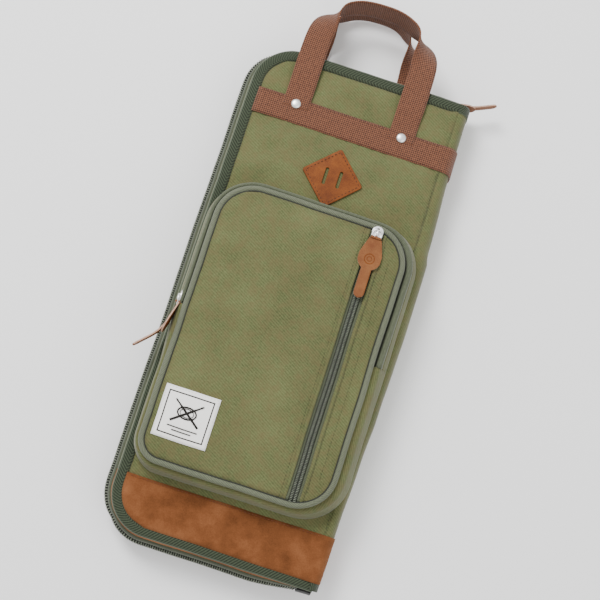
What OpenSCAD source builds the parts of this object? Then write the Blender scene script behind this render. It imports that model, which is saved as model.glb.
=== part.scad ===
// Drum stick bag: a zip-round clamshell case with a soft spine, an outer pocket and two webbing handles.
// The closed bag lies on its padded back. +Z leaves the front, +Y points to the handles, +X to the spine.

/* [Bag body] */
// Width of the closed bag, from the zip side to the spine
body_w = 205; // [195:1:225]
// Height of the closed bag, without its handles
body_h = 480; // [470:1:500]
// Thickness of the closed bag between its two padded faces
body_t = 46; // [46:0.5:54]
// Radius of the two corners on the zip side
corner_r = 40; // [34:1:46]
// Thickness of the spine wall
spine_wall = 4; // [3:0.5:5]

/* [Cloth and trim] */
// Height of the padding above the panel's base cloth
pad_raise = 4; // [4:0.1:5]
// Thickness of the panel's base cloth
panel_cloth = 2; // [1.5:0.1:2.5]
// Thickness of the lining cloth
lining_t = 0.8; // [0.6:0.1:1]
// Width of the binding on the face
binding_w = 10.5; // [9:0.5:12]
// Thickness of binding and webbing, each layer
trim_t = 1.4; // [1.2:0.1:1.5]
// Width of the webbing across the bag
band_w = 25; // [22:1:30]
// Height of the webbing's lower edge above the middle of the bag
band_y = 169; // [160:1:175]
// Height of the suede base, above the bag's bottom edge
suede_h = 51; // [40:1:58]

/* [Main zipper] */
// Depth of each half's gusset, from the binding to the zipper tape
gusset_h = 5; // [4:0.5:11]
// Thickness of the gusset cloth
gusset_t = 2; // [1.6:0.1:2.4]
// Thickness of the zipper tape
tape_t = 1.2; // [1:0.1:1.4]
// Width of one row of zipper coil
coil_w = 1.5; // [1.2:0.1:1.7]

/* [Stick pockets] */
// Height of the tall stick pocket's mouth above the middle of the bag
tall_y = 140; // [100:1:150]
// Height of the short stick pocket's mouth above the middle of the bag
short_y = 40; // [0:1:90]
// Thickness of the stick pocket's cloth
pocket_cloth = 1; // [0.8:0.1:1.2]

/* [Outer pocket] */
// Width of the outer pocket
outer_w = 182; // [176:1:184]
// Height of the outer pocket
outer_h = 270; // [262:1:272]
// Depth of the outer pocket, from the front face to its own face
outer_d = 26.5; // [26:0.1:28]
// Sideways place of the outer pocket's middle
outer_x = -2; // [-3:0.5:-1]
// Height of the outer pocket's middle
outer_y = -40; // [-42:1:-38]
// Height at which the zipper ends and the pocket's flap folds
fold_y = -31; // [-40:1:-20]
// How far the outer pocket's wall stands out past its piping
wall_flare = 3.5; // [2.5:0.1:3.5]
// Diameter of the pocket's piping
piping_d = 5.5; // [5:0.1:6]
// Sideways place of the zipper in the pocket's face
face_zip_x = 55; // [50:0.5:58]

/* [Handles] */
// Width of a handle's webbing
strap_w = 25.4; // [24:0.1:26]
// Thickness of a handle's webbing
strap_t = 1.3; // [1.1:0.1:1.3]
// Distance between a handle's two legs, middle to middle
strap_pitch = 105; // [100:1:110]
// Height of a handle's arch above the top edge of the bag
strap_rise = 57; // [50:1:60]

/* [Leather and metal] */
// Side of the square lash patch
patch_side = 42.4; // [38:0.2:44]
// Thickness of the leather
leather_t = 1.5; // [1.3:0.1:1.6]
// Diameter of a rivet's head
rivet_d = 9; // [8:0.1:10]
// Length of a pull's tail, from its pivot
pull_l = 56; // [50:1:60]
// Radius of the pull's broad leaf
leaf_r = 10.7; // [9:0.1:11]

/* [Hidden] */
$fn = 64;
FAR = 400;
GAP = 0.3;

// Depths in one half, from its outer face inwards
z_face = pad_raise;
z_slab = z_face + panel_cloth;
z_lining = z_slab + lining_t;
z_trim = z_face - trim_t;
z_sewn = z_trim - trim_t;
z_strap = z_sewn - 0.2;
z_mid = body_t / 2;
rim_w = 2.4;
z_rim = z_slab + 2;
z_gusset = z_rim + gusset_h;
z_coil = z_mid - GAP / 2;
z_tape = z_coil - 0.6;
z_pocket = z_mid - 0.5;

// Places on the faces
panel_x = body_w / 2 - spine_wall - GAP;
bottom_y = -body_h / 2;
suede_y = bottom_y + suede_h;
band_top = band_y + band_w;
hinge_y = band_top + 0.8;
strap_x = strap_pitch / 2;
strap_mid_x = -2;
zip_end_x = 84;
rivet_y = band_top - 6;

// Heights in the outer pocket, above the bag's back
p_zip = body_t + outer_d - 11;
p_tape = p_zip - 4;
p_flange = p_zip + 4;
p_top = body_t + outer_d;
p_panel = p_top - 2;
p_lining = p_panel - 6.3;
face_coil_z = p_top - 0.3;
zip_slot_w = 12.5;
left_x = outer_x - outer_w / 2;
right_x = outer_x + outer_w / 2;
low_y = outer_y - outer_h / 2;
high_y = outer_y + outer_h / 2;
outer_r = [37, 37, 37, 23];
zip_tab = [1.2, 10.7, 9.5];
label_at = [-83, -151];
label_size = [51, 47.5, 0.5];

// Stick pockets: their outer sides and the seam between them
pocket_edge_x = 96;
pocket_seam_x = 1.5;

// Lash patch and its two slots
patch_y = 129;
patch_t = 2;
slot_x = 6.9;
slot_size = [2.8, 19.6];

// Spine: how far its layers stop short of the bag's ends and faces
spine_end_gap = 2;
spine_edge_gap = 0.6;
spine_trim_gap = 3;
spine_lining_gap = 8;

// Cloth tabs over the ends of the main zipper
tab_x = zip_end_x + 2.5;
tab_t = 0.8;
tab_h = 12;

// Zipper sliders
slider_w = 9;
slider_l = 11;
slider_t = 1.4;
bar_z = 2.1;
bar_r = 0.7;
bar_reach = 2.6;
eye_r = 1.8;
eye_bore_r = bar_r + 0.3;
eye_w = 8;
neck_y = 7;
shoulder_x = 8.5;
shoulder_y = 12;
leaf_y = 18.5;
bend_y = 25;
main_pull_l = 50;

// Where the sliders stand on their zippers
main_slider_x = 75;
pocket_slider_y = -24;
face_slider_y = 87;

OLIVE = "#8a8c61";
DARK_GREEN = "#56614c";
GREY_GREEN = "#8f937e";
WEBBING = "#8c4e3a";
SUEDE = "#965b33";
LEATHER = "#a35c2c";
COIL = "#2f3326";
LINING = "#3a3a38";

// ---- Shared outlines ----

// What rounding a corner at p takes away, where way points from the corner into the shape
module corner_notch(p, r, way) translate(p) difference() {
    square(2 * r, center = true);
    translate(way * r) circle(r);
}

// Rectangle with its own radius at each corner: left top, right top, right bottom, left bottom
module rounded(x0, x1, y0, y1, r) difference() {
    translate([x0, y0]) square([x1 - x0, y1 - y0]);
    corner_notch([x0, y1], r[0], [1, -1]);
    corner_notch([x1, y1], r[1], [-1, -1]);
    corner_notch([x1, y0], r[2], [-1, 1]);
    corner_notch([x0, y0], r[3], [1, 1]);
}

// Outline of one half of the bag, moved in by inset on its three sewn sides
module body_outline(inset, reach = 0) {
    r = corner_r - inset;
    rounded(-body_w / 2 + inset, panel_x + reach, bottom_y + inset, -bottom_y - inset, [r, 0.5, 0.5, r]);
}

module body_ring(outer, inner) {
    difference() {
        body_outline(outer);
        body_outline(inner, 2);
    }
}

// Outline of the outer pocket, moved in by inset all round
module outer_outline(inset) {
    rounded(left_x + inset, right_x - inset, low_y + inset, high_y - inset, [for (r = outer_r) r - inset]);
}

module outer_ring(outer, inner) {
    difference() {
        outer_outline(outer);
        outer_outline(inner);
    }
}

module strip_y(y0, y1) translate([-FAR, y0]) square([2 * FAR, y1 - y0]);

module strip_x(x0, x1) translate([x0, -FAR]) square([x1 - x0, 2 * FAR]);

module slab(z0, z1) translate([0, 0, z0]) linear_extrude(z1 - z0) children();

// Turns a back piece into its mirror image on the front half
module on_front() translate([0, 0, body_t]) mirror([0, 0, 1]) children();

// ---- One half of the bag, drawn for the back ----

module half_panel() color(OLIVE) {
    slab(z_face, z_slab) body_outline(rim_w);
    slab(0, z_face) intersection() {
        body_outline(binding_w);
        strip_y(suede_y, band_y);
    }
}

module half_gusset() color(OLIVE) slab(z_rim, z_gusset) intersection() {
    body_ring(0, gusset_t);
    strip_y(suede_y, FAR);
}

module half_gusset_suede() color(SUEDE) slab(z_rim, z_gusset) intersection() {
    body_ring(0, gusset_t);
    strip_y(-FAR, suede_y);
}

module half_binding() color(DARK_GREEN) {
    slab(z_trim, z_face) body_ring(rim_w, binding_w);
    slab(z_trim, z_rim) body_ring(0, rim_w);
}

module half_band() color(WEBBING) slab(z_trim, z_face) intersection() {
    body_outline(binding_w);
    strip_y(band_y, band_top);
}

module half_suede() color(SUEDE) slab(z_trim, z_face) intersection() {
    body_outline(binding_w);
    strip_y(-FAR, suede_y);
}

module half_lining() color(LINING) slab(z_slab, z_lining) body_outline(5);

// Tray of cloth sewn to the lining, open at the top
module stick_pocket(x0, x1, mouth_y) color(LINING) difference() {
    slab(z_lining, z_pocket) intersection() {
        body_outline(6);
        translate([x0, -FAR]) square([x1 - x0, FAR + mouth_y]);
    }
    slab(z_lining - 1, z_pocket - pocket_cloth) intersection() {
        body_outline(6 + pocket_cloth);
        translate([x0 + pocket_cloth, -FAR]) square([x1 - x0 - 2 * pocket_cloth, 2 * FAR]);
    }
}

module half_tall_pocket() stick_pocket(-pocket_edge_x, pocket_seam_x - 0.5, tall_y);

module half_short_pocket() stick_pocket(pocket_seam_x + 0.5, pocket_edge_x, short_y);

module half_tape() color(GREY_GREEN) slab(z_gusset, z_tape) body_ring(1, 1 + tape_t);

module half_coil() color(COIL) slab(z_coil - coil_w, z_coil) intersection() {
    body_ring(0, 1);
    strip_x(-FAR, zip_end_x);
}

module half_handle_ends() color(WEBBING) slab(z_sewn, z_trim) for (side = [-1, 1])
    translate([strap_mid_x + side * strap_x - strap_w / 2, band_y + 1]) square([strap_w, band_w - 1.5]);

module half_rivets() color("silver") for (side = [-1, 1])
    translate([strap_mid_x + side * strap_x, rivet_y, z_sewn]) mirror([0, 0, 1]) {
        cylinder(h = 0.5, d = rivet_d);
        translate([0, 0, 0.5]) cylinder(h = 0.6, d1 = rivet_d, d2 = 0.6 * rivet_d);
    }

module main_zipper_end_tabs() color("#222222") for (side = [-1, 1])
    translate([tab_x, side > 0 ? body_h / 2 : -body_h / 2 - tab_t, z_mid - tab_h / 2])
        cube([panel_x - tab_x - 0.5, tab_t, tab_h]);

// ---- Spine ----

module spine_panel() color(OLIVE)
    translate([body_w / 2 - spine_wall, spine_end_gap - body_h / 2, spine_edge_gap])
        cube([spine_wall, body_h - 2 * spine_end_gap, body_t - 2 * spine_edge_gap]);

module spine_layer(y0, y1)
    translate([body_w / 2, y0, spine_trim_gap]) cube([trim_t, y1 - y0, body_t - 2 * spine_trim_gap]);

module spine_webbing_band() color(WEBBING) spine_layer(band_y, band_top);

module spine_suede() color(SUEDE) spine_layer(spine_end_gap - body_h / 2, suede_y);

module spine_lining() color(LINING)
    translate([body_w / 2 - spine_wall - lining_t, spine_lining_gap - body_h / 2, spine_lining_gap])
        cube([lining_t, body_h - 2 * spine_lining_gap, body_t - 2 * spine_lining_gap]);

// ---- Lash patch on the front ----

module lash_patch() color(LEATHER) slab(body_t, body_t + patch_t) translate([0, patch_y]) difference() {
    rotate(45) square(patch_side, center = true);
    for (x = [-slot_x, slot_x]) translate([x, 0]) square(slot_size, center = true);
}

// ---- Outer pocket, fixed part ----

module outer_pocket_gusset() color(OLIVE) {
    slab(body_t, p_tape) outer_ring(1 - wall_flare, 3 - wall_flare);
    slab(p_tape, p_flange) intersection() {
        outer_ring(1 - wall_flare, 3 - wall_flare);
        strip_y(-FAR, fold_y);
    }
    wall_shelf(-FAR, fold_y);
}

// Cloth from the wall's upper edge in to the piping's flange
module wall_shelf(y0, y1) slab(p_flange - 1.2, p_flange) intersection() {
    outer_ring(1.2 - wall_flare, 2.4);
    strip_y(y0, y1);
}

module outer_pocket_tape() color(GREY_GREEN) slab(p_tape, p_zip - 0.6) intersection() {
    outer_ring(1.2 - wall_flare, 2.4 - wall_flare);
    strip_y(fold_y, FAR);
}

module outer_pocket_coil() color(COIL) slab(p_zip - 0.15 - coil_w, p_zip - 0.15) intersection() {
    outer_ring(0.2 - wall_flare, 1.2 - wall_flare);
    strip_y(fold_y, FAR);
}

// Cloth tab over the zipper's far end
module outer_pocket_zip_tab() color(OLIVE)
    translate([right_x - 1 + wall_flare, fold_y - GAP - zip_tab[1], p_flange - 0.5 - zip_tab[2]])
        cube(zip_tab);

// ---- Outer pocket's face: cut at the fold into a fixed part and a flap ----

module face_cloth(x0, x1, y0, y1) color(OLIVE) slab(p_panel, p_top) intersection() {
    outer_outline(piping_d + 0.05);
    translate([x0, y0]) square([x1 - x0, y1 - y0]);
}

module face_left(y0, y1) face_cloth(-FAR, face_zip_x - zip_slot_w / 2, y0, y1);

module face_right(y0, y1) face_cloth(face_zip_x + zip_slot_w / 2, FAR, y0, y1);

// Piping cord with its sewn flange, as straight runs and quarter turns
module piping_section() {
    translate([-piping_d / 2, p_top + 0.3 - piping_d / 2]) circle(d = piping_d, $fn = 24);
    translate([-2.4, p_flange]) square([1.2, 3]);
}

module piping_turn(i, at, start) translate(at) rotate(start)
    rotate_extrude(angle = 90) translate([outer_r[i], 0]) piping_section();

module piping_run(from, length, turn) translate(from) rotate(turn)
    rotate([90, 0, 0]) linear_extrude(length) piping_section();

module piping_upper() {
    r0 = outer_r[0];
    r1 = outer_r[1];
    piping_turn(0, [left_x + r0, high_y - r0], 90);
    piping_turn(1, [right_x - r1, high_y - r1], 0);
    piping_run([right_x, high_y - r1], high_y - r1 - fold_y - GAP, 0);
    piping_run([left_x, fold_y + GAP], high_y - r0 - fold_y - GAP, 180);
    piping_run([left_x + r0, high_y], outer_w - r0 - r1, 90);
}

module piping_lower() {
    r2 = outer_r[2];
    r3 = outer_r[3];
    piping_turn(2, [right_x - r2, low_y + r2], 270);
    piping_turn(3, [left_x + r3, low_y + r3], 180);
    piping_run([right_x, fold_y], fold_y - low_y - r2, 0);
    piping_run([left_x, low_y + r3], fold_y - low_y - r3, 180);
    piping_run([right_x - r2, low_y], outer_w - r2 - r3, 270);
}

module face_tape(y0, y1) color(GREY_GREEN) slab(p_panel - 0.8, p_panel) intersection() {
    outer_outline(piping_d + 0.5);
    translate([face_zip_x - 9, y0]) square([18, y1 - y0]);
}

module face_coil(y0, y1) color(COIL) slab(p_panel, face_coil_z) intersection() {
    outer_outline(piping_d + 0.5);
    union() for (side = [-1, 1]) translate([face_zip_x + side * 1.3 - 1, y0]) square([2, y1 - y0]);
}

module flat_lining(y0, y1) color(LINING) slab(p_lining, p_lining + lining_t) intersection() {
    outer_outline(4);
    strip_y(y0, y1);
}

module woven_label() color("ivory") translate([label_at[0], label_at[1], p_top]) cube(label_size);

// ---- Outer pocket's flap ----

module flap_tape() color(GREY_GREEN) {
    slab(p_zip + 0.6, p_flange) intersection() {
        outer_ring(1.2 - wall_flare, 2.4 - wall_flare);
        strip_y(fold_y + GAP, FAR);
    }
    wall_shelf(fold_y + GAP, FAR);
}

module flap_coil() color(COIL) slab(p_zip + 0.15, p_zip + 0.15 + coil_w) intersection() {
    outer_ring(0.2 - wall_flare, 1.2 - wall_flare);
    strip_y(fold_y + GAP, FAR);
}

// ---- Zipper sliders and their leather pulls, drawn on a flat zipper whose closed end is +Y ----

module slider() color("silver") {
    translate([-slider_w / 2, -slider_l / 2, GAP]) cube([slider_w, slider_l, slider_t]);
    for (side = [-1, 1]) translate([side * (slider_w / 2 + 0.4) - 0.5, -slider_l / 2 - bar_reach - 1, GAP])
        cube([1, bar_reach + 4, 2.6]);
    translate([0, -slider_l / 2 - bar_reach, bar_z]) rotate([0, 90, 0])
        cylinder(h = slider_w + 0.8, r = bar_r, center = true);
}

// Folded leather pull about its pivot: an eye, a broad leaf and a narrow tail that may bend at its middle
module puller(tail_l, tail_bend) color(LEATHER) difference() {
    union() {
        rotate([0, 90, 0]) cylinder(h = eye_w, r = eye_r, center = true);
        slab(0, leather_t) {
            translate([-eye_w / 2, -neck_y - 1]) square([eye_w, neck_y]);
            polygon([[-eye_w / 2, -neck_y], [eye_w / 2, -neck_y],
                     [shoulder_x, -shoulder_y], [-shoulder_x, -shoulder_y]]);
            translate([0, -leaf_y]) circle(leaf_r);
        }
        slab(-leather_t, 0) translate([-eye_w / 2, -bend_y]) square([eye_w, bend_y - 1]);
        translate([0, -bend_y, 0]) rotate([tail_bend, 0, 0])
            translate([-eye_w / 2, bend_y - tail_l, -leather_t]) cube([eye_w, tail_l - bend_y + 1, leather_t]);
    }
    rotate([0, 90, 0]) cylinder(h = eye_w + 1, r = eye_bore_r, center = true);
}

module on_bar() translate([0, -slider_l / 2 - bar_reach, bar_z]) children();

// Places of the three sliders: the main zipper's top run, the outer pocket's side and the pocket's face
module at_main() translate([main_slider_x, body_h / 2, z_mid]) rotate([-90, 0, 0]) rotate(90) children();

module at_pocket() translate([left_x + 0.2 - wall_flare, pocket_slider_y, p_zip])
    rotate([0, -90, 0]) children();

module at_face() translate([face_zip_x, face_slider_y, p_top]) children();

module main_slider() at_main() slider();

module main_puller() at_main() on_bar() rotate([-10, 0, 0]) mirror([0, 0, 1]) puller(main_pull_l, 15);

module pocket_slider() at_pocket() slider();

module pocket_puller() at_pocket() on_bar() rotate([-6, 0, 0]) mirror([0, 0, 1]) puller(pull_l, 36);

module face_slider() at_face() slider();

module face_puller() at_face() on_bar() puller(pull_l, 0);

// ---- Webbing handles ----

STEPS = 56;
leg_rise = 8;
leg_top = body_h / 2 + leg_rise;
arch_rise = strap_rise - leg_rise;
arch_power = 0.8;
twist_from = 0.24;
twist_span = 0.17;

// Path of the strap's middle at t from 0 to 1, as [x, y]
function strap_xy(t) =
    t < 0.25 ? [-strap_x, hinge_y + GAP + 4 * t * (leg_top - hinge_y - GAP)] :
    t > 0.75 ? [strap_x, hinge_y + GAP + 4 * (1 - t) * (leg_top - hinge_y - GAP)] :
    let (a = 180 - 360 * (t - 0.25), c = cos(a), s = sin(a))
        [strap_x * sign(c) * pow(abs(c), arch_power), leg_top + arch_rise * pow(max(s, 0), arch_power)];

function ease(u) = let (v = min(max(u, 0), 1)) v * v * (3 - 2 * v);

// Turn of the strap's width about its length: flat on the legs, on edge over the arch
function strap_turn(t) =
    90 * ease((t - twist_from) / twist_span) + 90 * ease((t - 1 + twist_from + twist_span) / twist_span);

// Depth of the strap's middle: flat on the face, leaning inwards as the strap turns on edge
function strap_z(t, leg_z, arch_z) = leg_z + (arch_z - leg_z) * sin(strap_turn(t));

function strap_ring(t, leg_z, arch_z) =
    let (
        p = strap_xy(t),
        d = strap_xy(min(t + 0.004, 1)) - strap_xy(max(t - 0.004, 0)),
        n = norm(d),
        tangent = [d[0] / n, d[1] / n, 0],
        side = [tangent[1], -tangent[0], 0],
        a = strap_turn(t),
        flip = t < 0.5 ? a : 180 - a,
        wide = side * cos(flip) + [0, 0, 1] * sin(flip),
        thin = cross(tangent, wide),
        middle = [p[0] + strap_mid_x, p[1], strap_z(t, leg_z, arch_z)]
    )
    [for (c = [[-1, -1], [1, -1], [1, 1], [-1, 1]])
        middle + wide * c[0] * strap_w / 2 + thin * c[1] * strap_t / 2];

// Two triangles between corners k and k + 1 of ring i and those of the next ring
function strap_wall(i, k) =
    let (a = 4 * i + k, b = 4 * i + (k + 1) % 4, c = b + 4, d = a + 4) [[a, b, c], [a, c, d]];

module strap(leg_z, arch_z) color(WEBBING) {
    points = [for (i = [0:STEPS]) each strap_ring(i / STEPS, leg_z, arch_z)];
    last = 4 * STEPS;
    ends = [[2, 1, 0], [3, 2, 0], [last, last + 1, last + 2], [last, last + 2, last + 3]];
    polyhedron(points, concat(ends, [for (i = [0:STEPS - 1], k = [0:3]) each strap_wall(i, k)]));
}

module back_handle() strap(z_strap + strap_t / 2, strap_w / 2 + 0.4);

module front_handle() strap(body_t - z_strap - strap_t / 2, 1.5 * strap_w + 1.9);

// ---- Nodes ----

half_panel();  // back_panel
half_gusset();  // back_gusset
half_gusset_suede();  // back_gusset_suede
half_binding();  // back_binding
half_band();  // back_webbing_band
half_suede();  // back_suede_base
half_lining();  // back_lining
half_tall_pocket();  // back_stick_pocket_tall
half_short_pocket();  // back_stick_pocket_short
half_tape();  // back_zipper_tape
half_coil();  // back_zipper_coil
half_handle_ends();  // back_handle_ends
half_rivets();  // back_rivets
main_zipper_end_tabs();
spine_panel();
spine_webbing_band();
spine_suede();
spine_lining();
on_front() half_panel();  // front_panel
on_front() half_gusset();  // front_gusset
on_front() half_gusset_suede();  // front_gusset_suede
on_front() half_binding();  // front_binding
on_front() half_band();  // front_webbing_band
on_front() half_suede();  // front_suede_base
on_front() half_lining();  // front_lining
on_front() half_tall_pocket();  // front_stick_pocket_tall
on_front() half_short_pocket();  // front_stick_pocket_short
on_front() half_tape();  // front_zipper_tape
on_front() half_coil();  // front_zipper_coil
on_front() half_handle_ends();  // front_handle_ends
on_front() half_rivets();  // front_rivets
lash_patch();
outer_pocket_gusset();
outer_pocket_tape();
outer_pocket_coil();
outer_pocket_zip_tab();
face_left(-FAR, fold_y);  // outer_face_lower_left
face_right(-FAR, fold_y);  // outer_face_lower_right
color(GREY_GREEN) piping_lower();  // outer_piping_lower
face_tape(-FAR, fold_y);  // face_zipper_tape_lower
face_coil(-FAR, fold_y);  // face_zipper_coil_lower
flat_lining(-FAR, fold_y);  // flat_pocket_lining_lower
woven_label();
face_left(fold_y + GAP, FAR);  // outer_face_upper_left
face_right(fold_y + GAP, FAR);  // outer_face_upper_right
color(GREY_GREEN) piping_upper();  // outer_piping_upper
face_tape(fold_y + GAP, FAR);  // face_zipper_tape_upper
face_coil(fold_y + GAP, FAR);  // face_zipper_coil_upper
flat_lining(fold_y + GAP, FAR);  // flat_pocket_lining_upper
flap_tape();
flap_coil();
main_slider();
main_puller();
pocket_slider();
pocket_puller();
face_slider();
face_puller();
front_handle();
back_handle();
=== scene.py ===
"""Looks of the drum stick bag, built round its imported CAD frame. Lengths are in millimetres until a mesh is made."""
from math import atan2, copysign, cos, degrees, dist, exp, hypot, pi, radians, sin, sqrt, tan

import bpy
import bmesh
import numpy as np
from mathutils import Matrix, Vector, noise
from mathutils.bvhtree import BVHTree


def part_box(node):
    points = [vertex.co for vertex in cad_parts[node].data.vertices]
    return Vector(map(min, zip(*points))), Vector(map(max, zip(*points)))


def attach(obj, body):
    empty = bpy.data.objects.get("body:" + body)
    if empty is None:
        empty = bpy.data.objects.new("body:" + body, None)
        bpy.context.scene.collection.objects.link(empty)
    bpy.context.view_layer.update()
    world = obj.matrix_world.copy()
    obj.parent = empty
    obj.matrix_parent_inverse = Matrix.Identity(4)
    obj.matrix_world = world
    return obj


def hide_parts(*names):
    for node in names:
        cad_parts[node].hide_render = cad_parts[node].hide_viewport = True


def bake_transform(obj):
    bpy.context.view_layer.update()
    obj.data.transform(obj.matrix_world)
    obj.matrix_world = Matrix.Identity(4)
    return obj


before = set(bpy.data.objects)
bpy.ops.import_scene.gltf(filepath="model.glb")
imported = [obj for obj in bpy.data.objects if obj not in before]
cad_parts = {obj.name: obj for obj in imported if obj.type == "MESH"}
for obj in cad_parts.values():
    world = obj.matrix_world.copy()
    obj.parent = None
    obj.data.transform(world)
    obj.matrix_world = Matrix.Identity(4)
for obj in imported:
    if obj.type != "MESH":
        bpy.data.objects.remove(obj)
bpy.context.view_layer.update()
MM = 0.001
noise.seed_set(11)


# ---- Places from the frame ----

def box(node):
    """Lowest and highest corner of a CAD node, in millimetres."""
    return [[c / MM for c in corner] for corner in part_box(node)]


def middle(node):
    """Middle of a CAD node's box, in millimetres."""
    return [(a + b) / 2 for a, b in zip(*box(node))]


(LEFT, BOTTOM, _), (_, TOP, _) = box("front_binding")
PANEL_X, _, THICK = box("front_panel")[1]
SPINE_X = box("spine_panel")[1][0]
SUEDE_Y = box("front_suede_base")[1][1]
(_, BAND_Y, _), (_, BAND_TOP, _) = box("front_webbing_band")
CORNER_R = 40
MID = THICK / 2
STITCH_X = 95
PAD_INSET = 9.2
ZIPPER_END_X = 84
COIL_FLARE = 8.6
SEAM_DEPTH = 1.3

(POCKET_L, POCKET_B, _), (POCKET_R, FOLD_Y, _) = box("outer_piping_lower")
POCKET_T = box("outer_piping_upper")[1][1]
POCKET_TOP = box("outer_face_upper_left")[1][2]
POCKET_RADII = (37, 37, 37, 23)
PIPING_D = 5.5
FACE_INSET = PIPING_D - 0.5
SLOT_HALF = 6.8
POCKET_FLARE = 4.0
FLARE = POCKET_L - box("outer_pocket_tape")[0][0] + 1.2
ZIP_Z = (box("outer_pocket_coil")[1][2] + box("flap_coil")[0][2]) / 2
FACE_ZIP_X = middle("face_zipper_tape_lower")[0]
PATCH_Y = middle("lash_patch")[1]
PATCH_R = box("lash_patch")[1][0]

STRAP_W = 25.4
STRAP_T = 1.3
RIVETS = [(x, middle("front_rivets")[1]) for x in (box("front_rivets")[0][0] + 4.5, box("front_rivets")[1][0] - 4.5)]
HANDLE_MID = (RIVETS[0][0] + RIVETS[1][0]) / 2
HANDLE_HALF = (RIVETS[1][0] - RIVETS[0][0]) / 2
HANDLE_TOP = box("front_handle")[1][1]


# ---- Small maths ----

def smooth(t):
    """0 to 1 with soft ends."""
    t = min(max(t, 0.0), 1.0)
    return t * t * (3 - 2 * t)


def mix(a, b, t):
    return a + (b - a) * t


def full_turn(count, first=0.0):
    """Even angles round a circle."""
    return [2 * pi * k / count + first for k in range(count)]


def running(line):
    """The length along a line at each of its points."""
    return np.cumsum([0.0] + [dist(a, b) for a, b in zip(line, line[1:])]).tolist()


def rows_between(low, high, step):
    """Even places from low to high, about a step apart."""
    count = max(2, round((high - low) / step))
    return [mix(low, high, i / count) for i in range(count + 1)]


def along(points, y):
    """Smooth value at y through (y, value) points in rising order."""
    for (y0, v0), (y1, v1) in zip(points, points[1:]):
        if y <= y1:
            return mix(v0, v1, smooth((y - y0) / (y1 - y0)))
    return points[-1][1]


def soften(p):
    """Moves a point of the sewn bag a little, so that cloth lies as cloth does. Neighbours move together."""
    x, y, z = p
    swell = noise.noise_vector(Vector((x, y, z)) / 75) * 1.2
    crease = noise.noise_vector(Vector((x, y, z + 300)) / 24) * 0.3
    free = smooth((z + 4) / 10)
    return (x + swell.x * 0.6 + crease.x, y + swell.y * 0.6 + crease.y, z + (swell.z + crease.z) * free)


# ---- Mesh making ----

def place_object(name, data):
    """A new object in the scene."""
    obj = bpy.data.objects.new(name, data)
    bpy.context.scene.collection.objects.link(obj)
    return obj


def make(name, points, faces, material, uv=None, soft=True):
    """A mesh object from points in millimetres, with a weave map in millimetres."""
    if soft:
        points = [soften(p) for p in points]
    mesh = bpy.data.meshes.new(name)
    mesh.from_pydata([tuple(c * MM for c in p) for p in points], [], faces)
    layer = mesh.uv_layers.new(name="weave")
    if uv is not None:
        corners = np.array([loop.vertex_index for loop in mesh.loops])
        layer.data.foreach_set("uv", np.array(uv, float)[corners].ravel())
    mesh.materials.append(material)
    tidy_normals(mesh)
    mesh.polygons.foreach_set("use_smooth", [True] * len(mesh.polygons))
    return place_object(name, mesh)


def rework(mesh, change):
    """Changes a mesh through bmesh."""
    work = bmesh.new()
    work.from_mesh(mesh)
    change(work)
    work.to_mesh(mesh)
    work.free()


def tidy_normals(mesh):
    rework(mesh, lambda work: bmesh.ops.recalc_face_normals(work, faces=work.faces))


def bake(obj):
    """Makes the modifiers' result the mesh."""
    graph = bpy.context.evaluated_depsgraph_get()
    mesh = bpy.data.meshes.new_from_object(obj.evaluated_get(graph))
    obj.modifiers.clear()
    obj.data = mesh
    return obj


def join(name, objects):
    """One object from several, keeping each one's materials."""
    for o in bpy.context.selected_objects:
        o.select_set(False)
    for o in objects:
        o.select_set(True)
    bpy.context.view_layer.objects.active = objects[0]
    bpy.ops.object.join()
    objects[0].name = name
    return objects[0]


def enter(obj, slot_name, body=None, *replaced):
    """Says which body a piece rides and which CAD nodes it stands for; its slot name is not used."""
    if body:
        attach(obj, body)
    if replaced:
        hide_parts(*replaced)


def ring_faces(count, width, loop=False):
    """Faces of a tube of count rings, width points each, that closes on itself or has two flat ends."""
    faces = []
    for i in range(count if loop else count - 1):
        a, b = i * width, (i + 1) % count * width
        faces += [(a + k, b + k, b + (k + 1) % width, a + (k + 1) % width) for k in range(width)]
    return faces if loop else faces + [tuple(range(width)), tuple(range((count - 1) * width, count * width))]


def sheet_shell(name, rows, material, thickness, uv=None, soft=True, turned=False):
    """A closed sheet of cloth from rows of points, with rows of uv to match. The second face lies thickness behind
    the first, and turned swaps the sides."""
    if turned:
        rows, uv = rows[::-1], uv and uv[::-1]
    grid = np.array(rows, float)
    count, width = grid.shape[:2]
    normal = np.cross(np.gradient(grid, axis=0), np.gradient(grid, axis=1))
    normal /= np.maximum(np.linalg.norm(normal, axis=2, keepdims=True), 1e-9)
    points = np.concatenate([grid.reshape(-1, 3), (grid - normal * thickness).reshape(-1, 3)])
    faces, shift = [], count * width
    for a in range(0, shift - width, width):
        b = a + width
        for k in range(width - 1):
            faces.append((a + k, b + k, b + k + 1, a + k + 1))
            faces.append((shift + a + k, shift + a + k + 1, shift + b + k + 1, shift + b + k))
        faces += [(a + k, b + k, shift + b + k, shift + a + k) for k in (0, width - 1)]
    for a in (0, shift - width):
        faces += [(a + k, a + k + 1, shift + a + k + 1, shift + a + k) for k in range(width - 1)]
    if uv is None:
        u, v = ([0, *np.cumsum(np.linalg.norm(np.diff(grid, axis=axis), axis=2).mean(1 - axis))] for axis in (0, 1))
        uv = [[(a, b) for b in v] for a in u]
    return make(name, points.tolist(), faces, material, [pair for row in uv for pair in row] * 2, soft=soft)


def flat(rows):
    """Rows of uv that lie flat on the rows of points."""
    return [[p[:2] for p in row] for row in rows]


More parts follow.
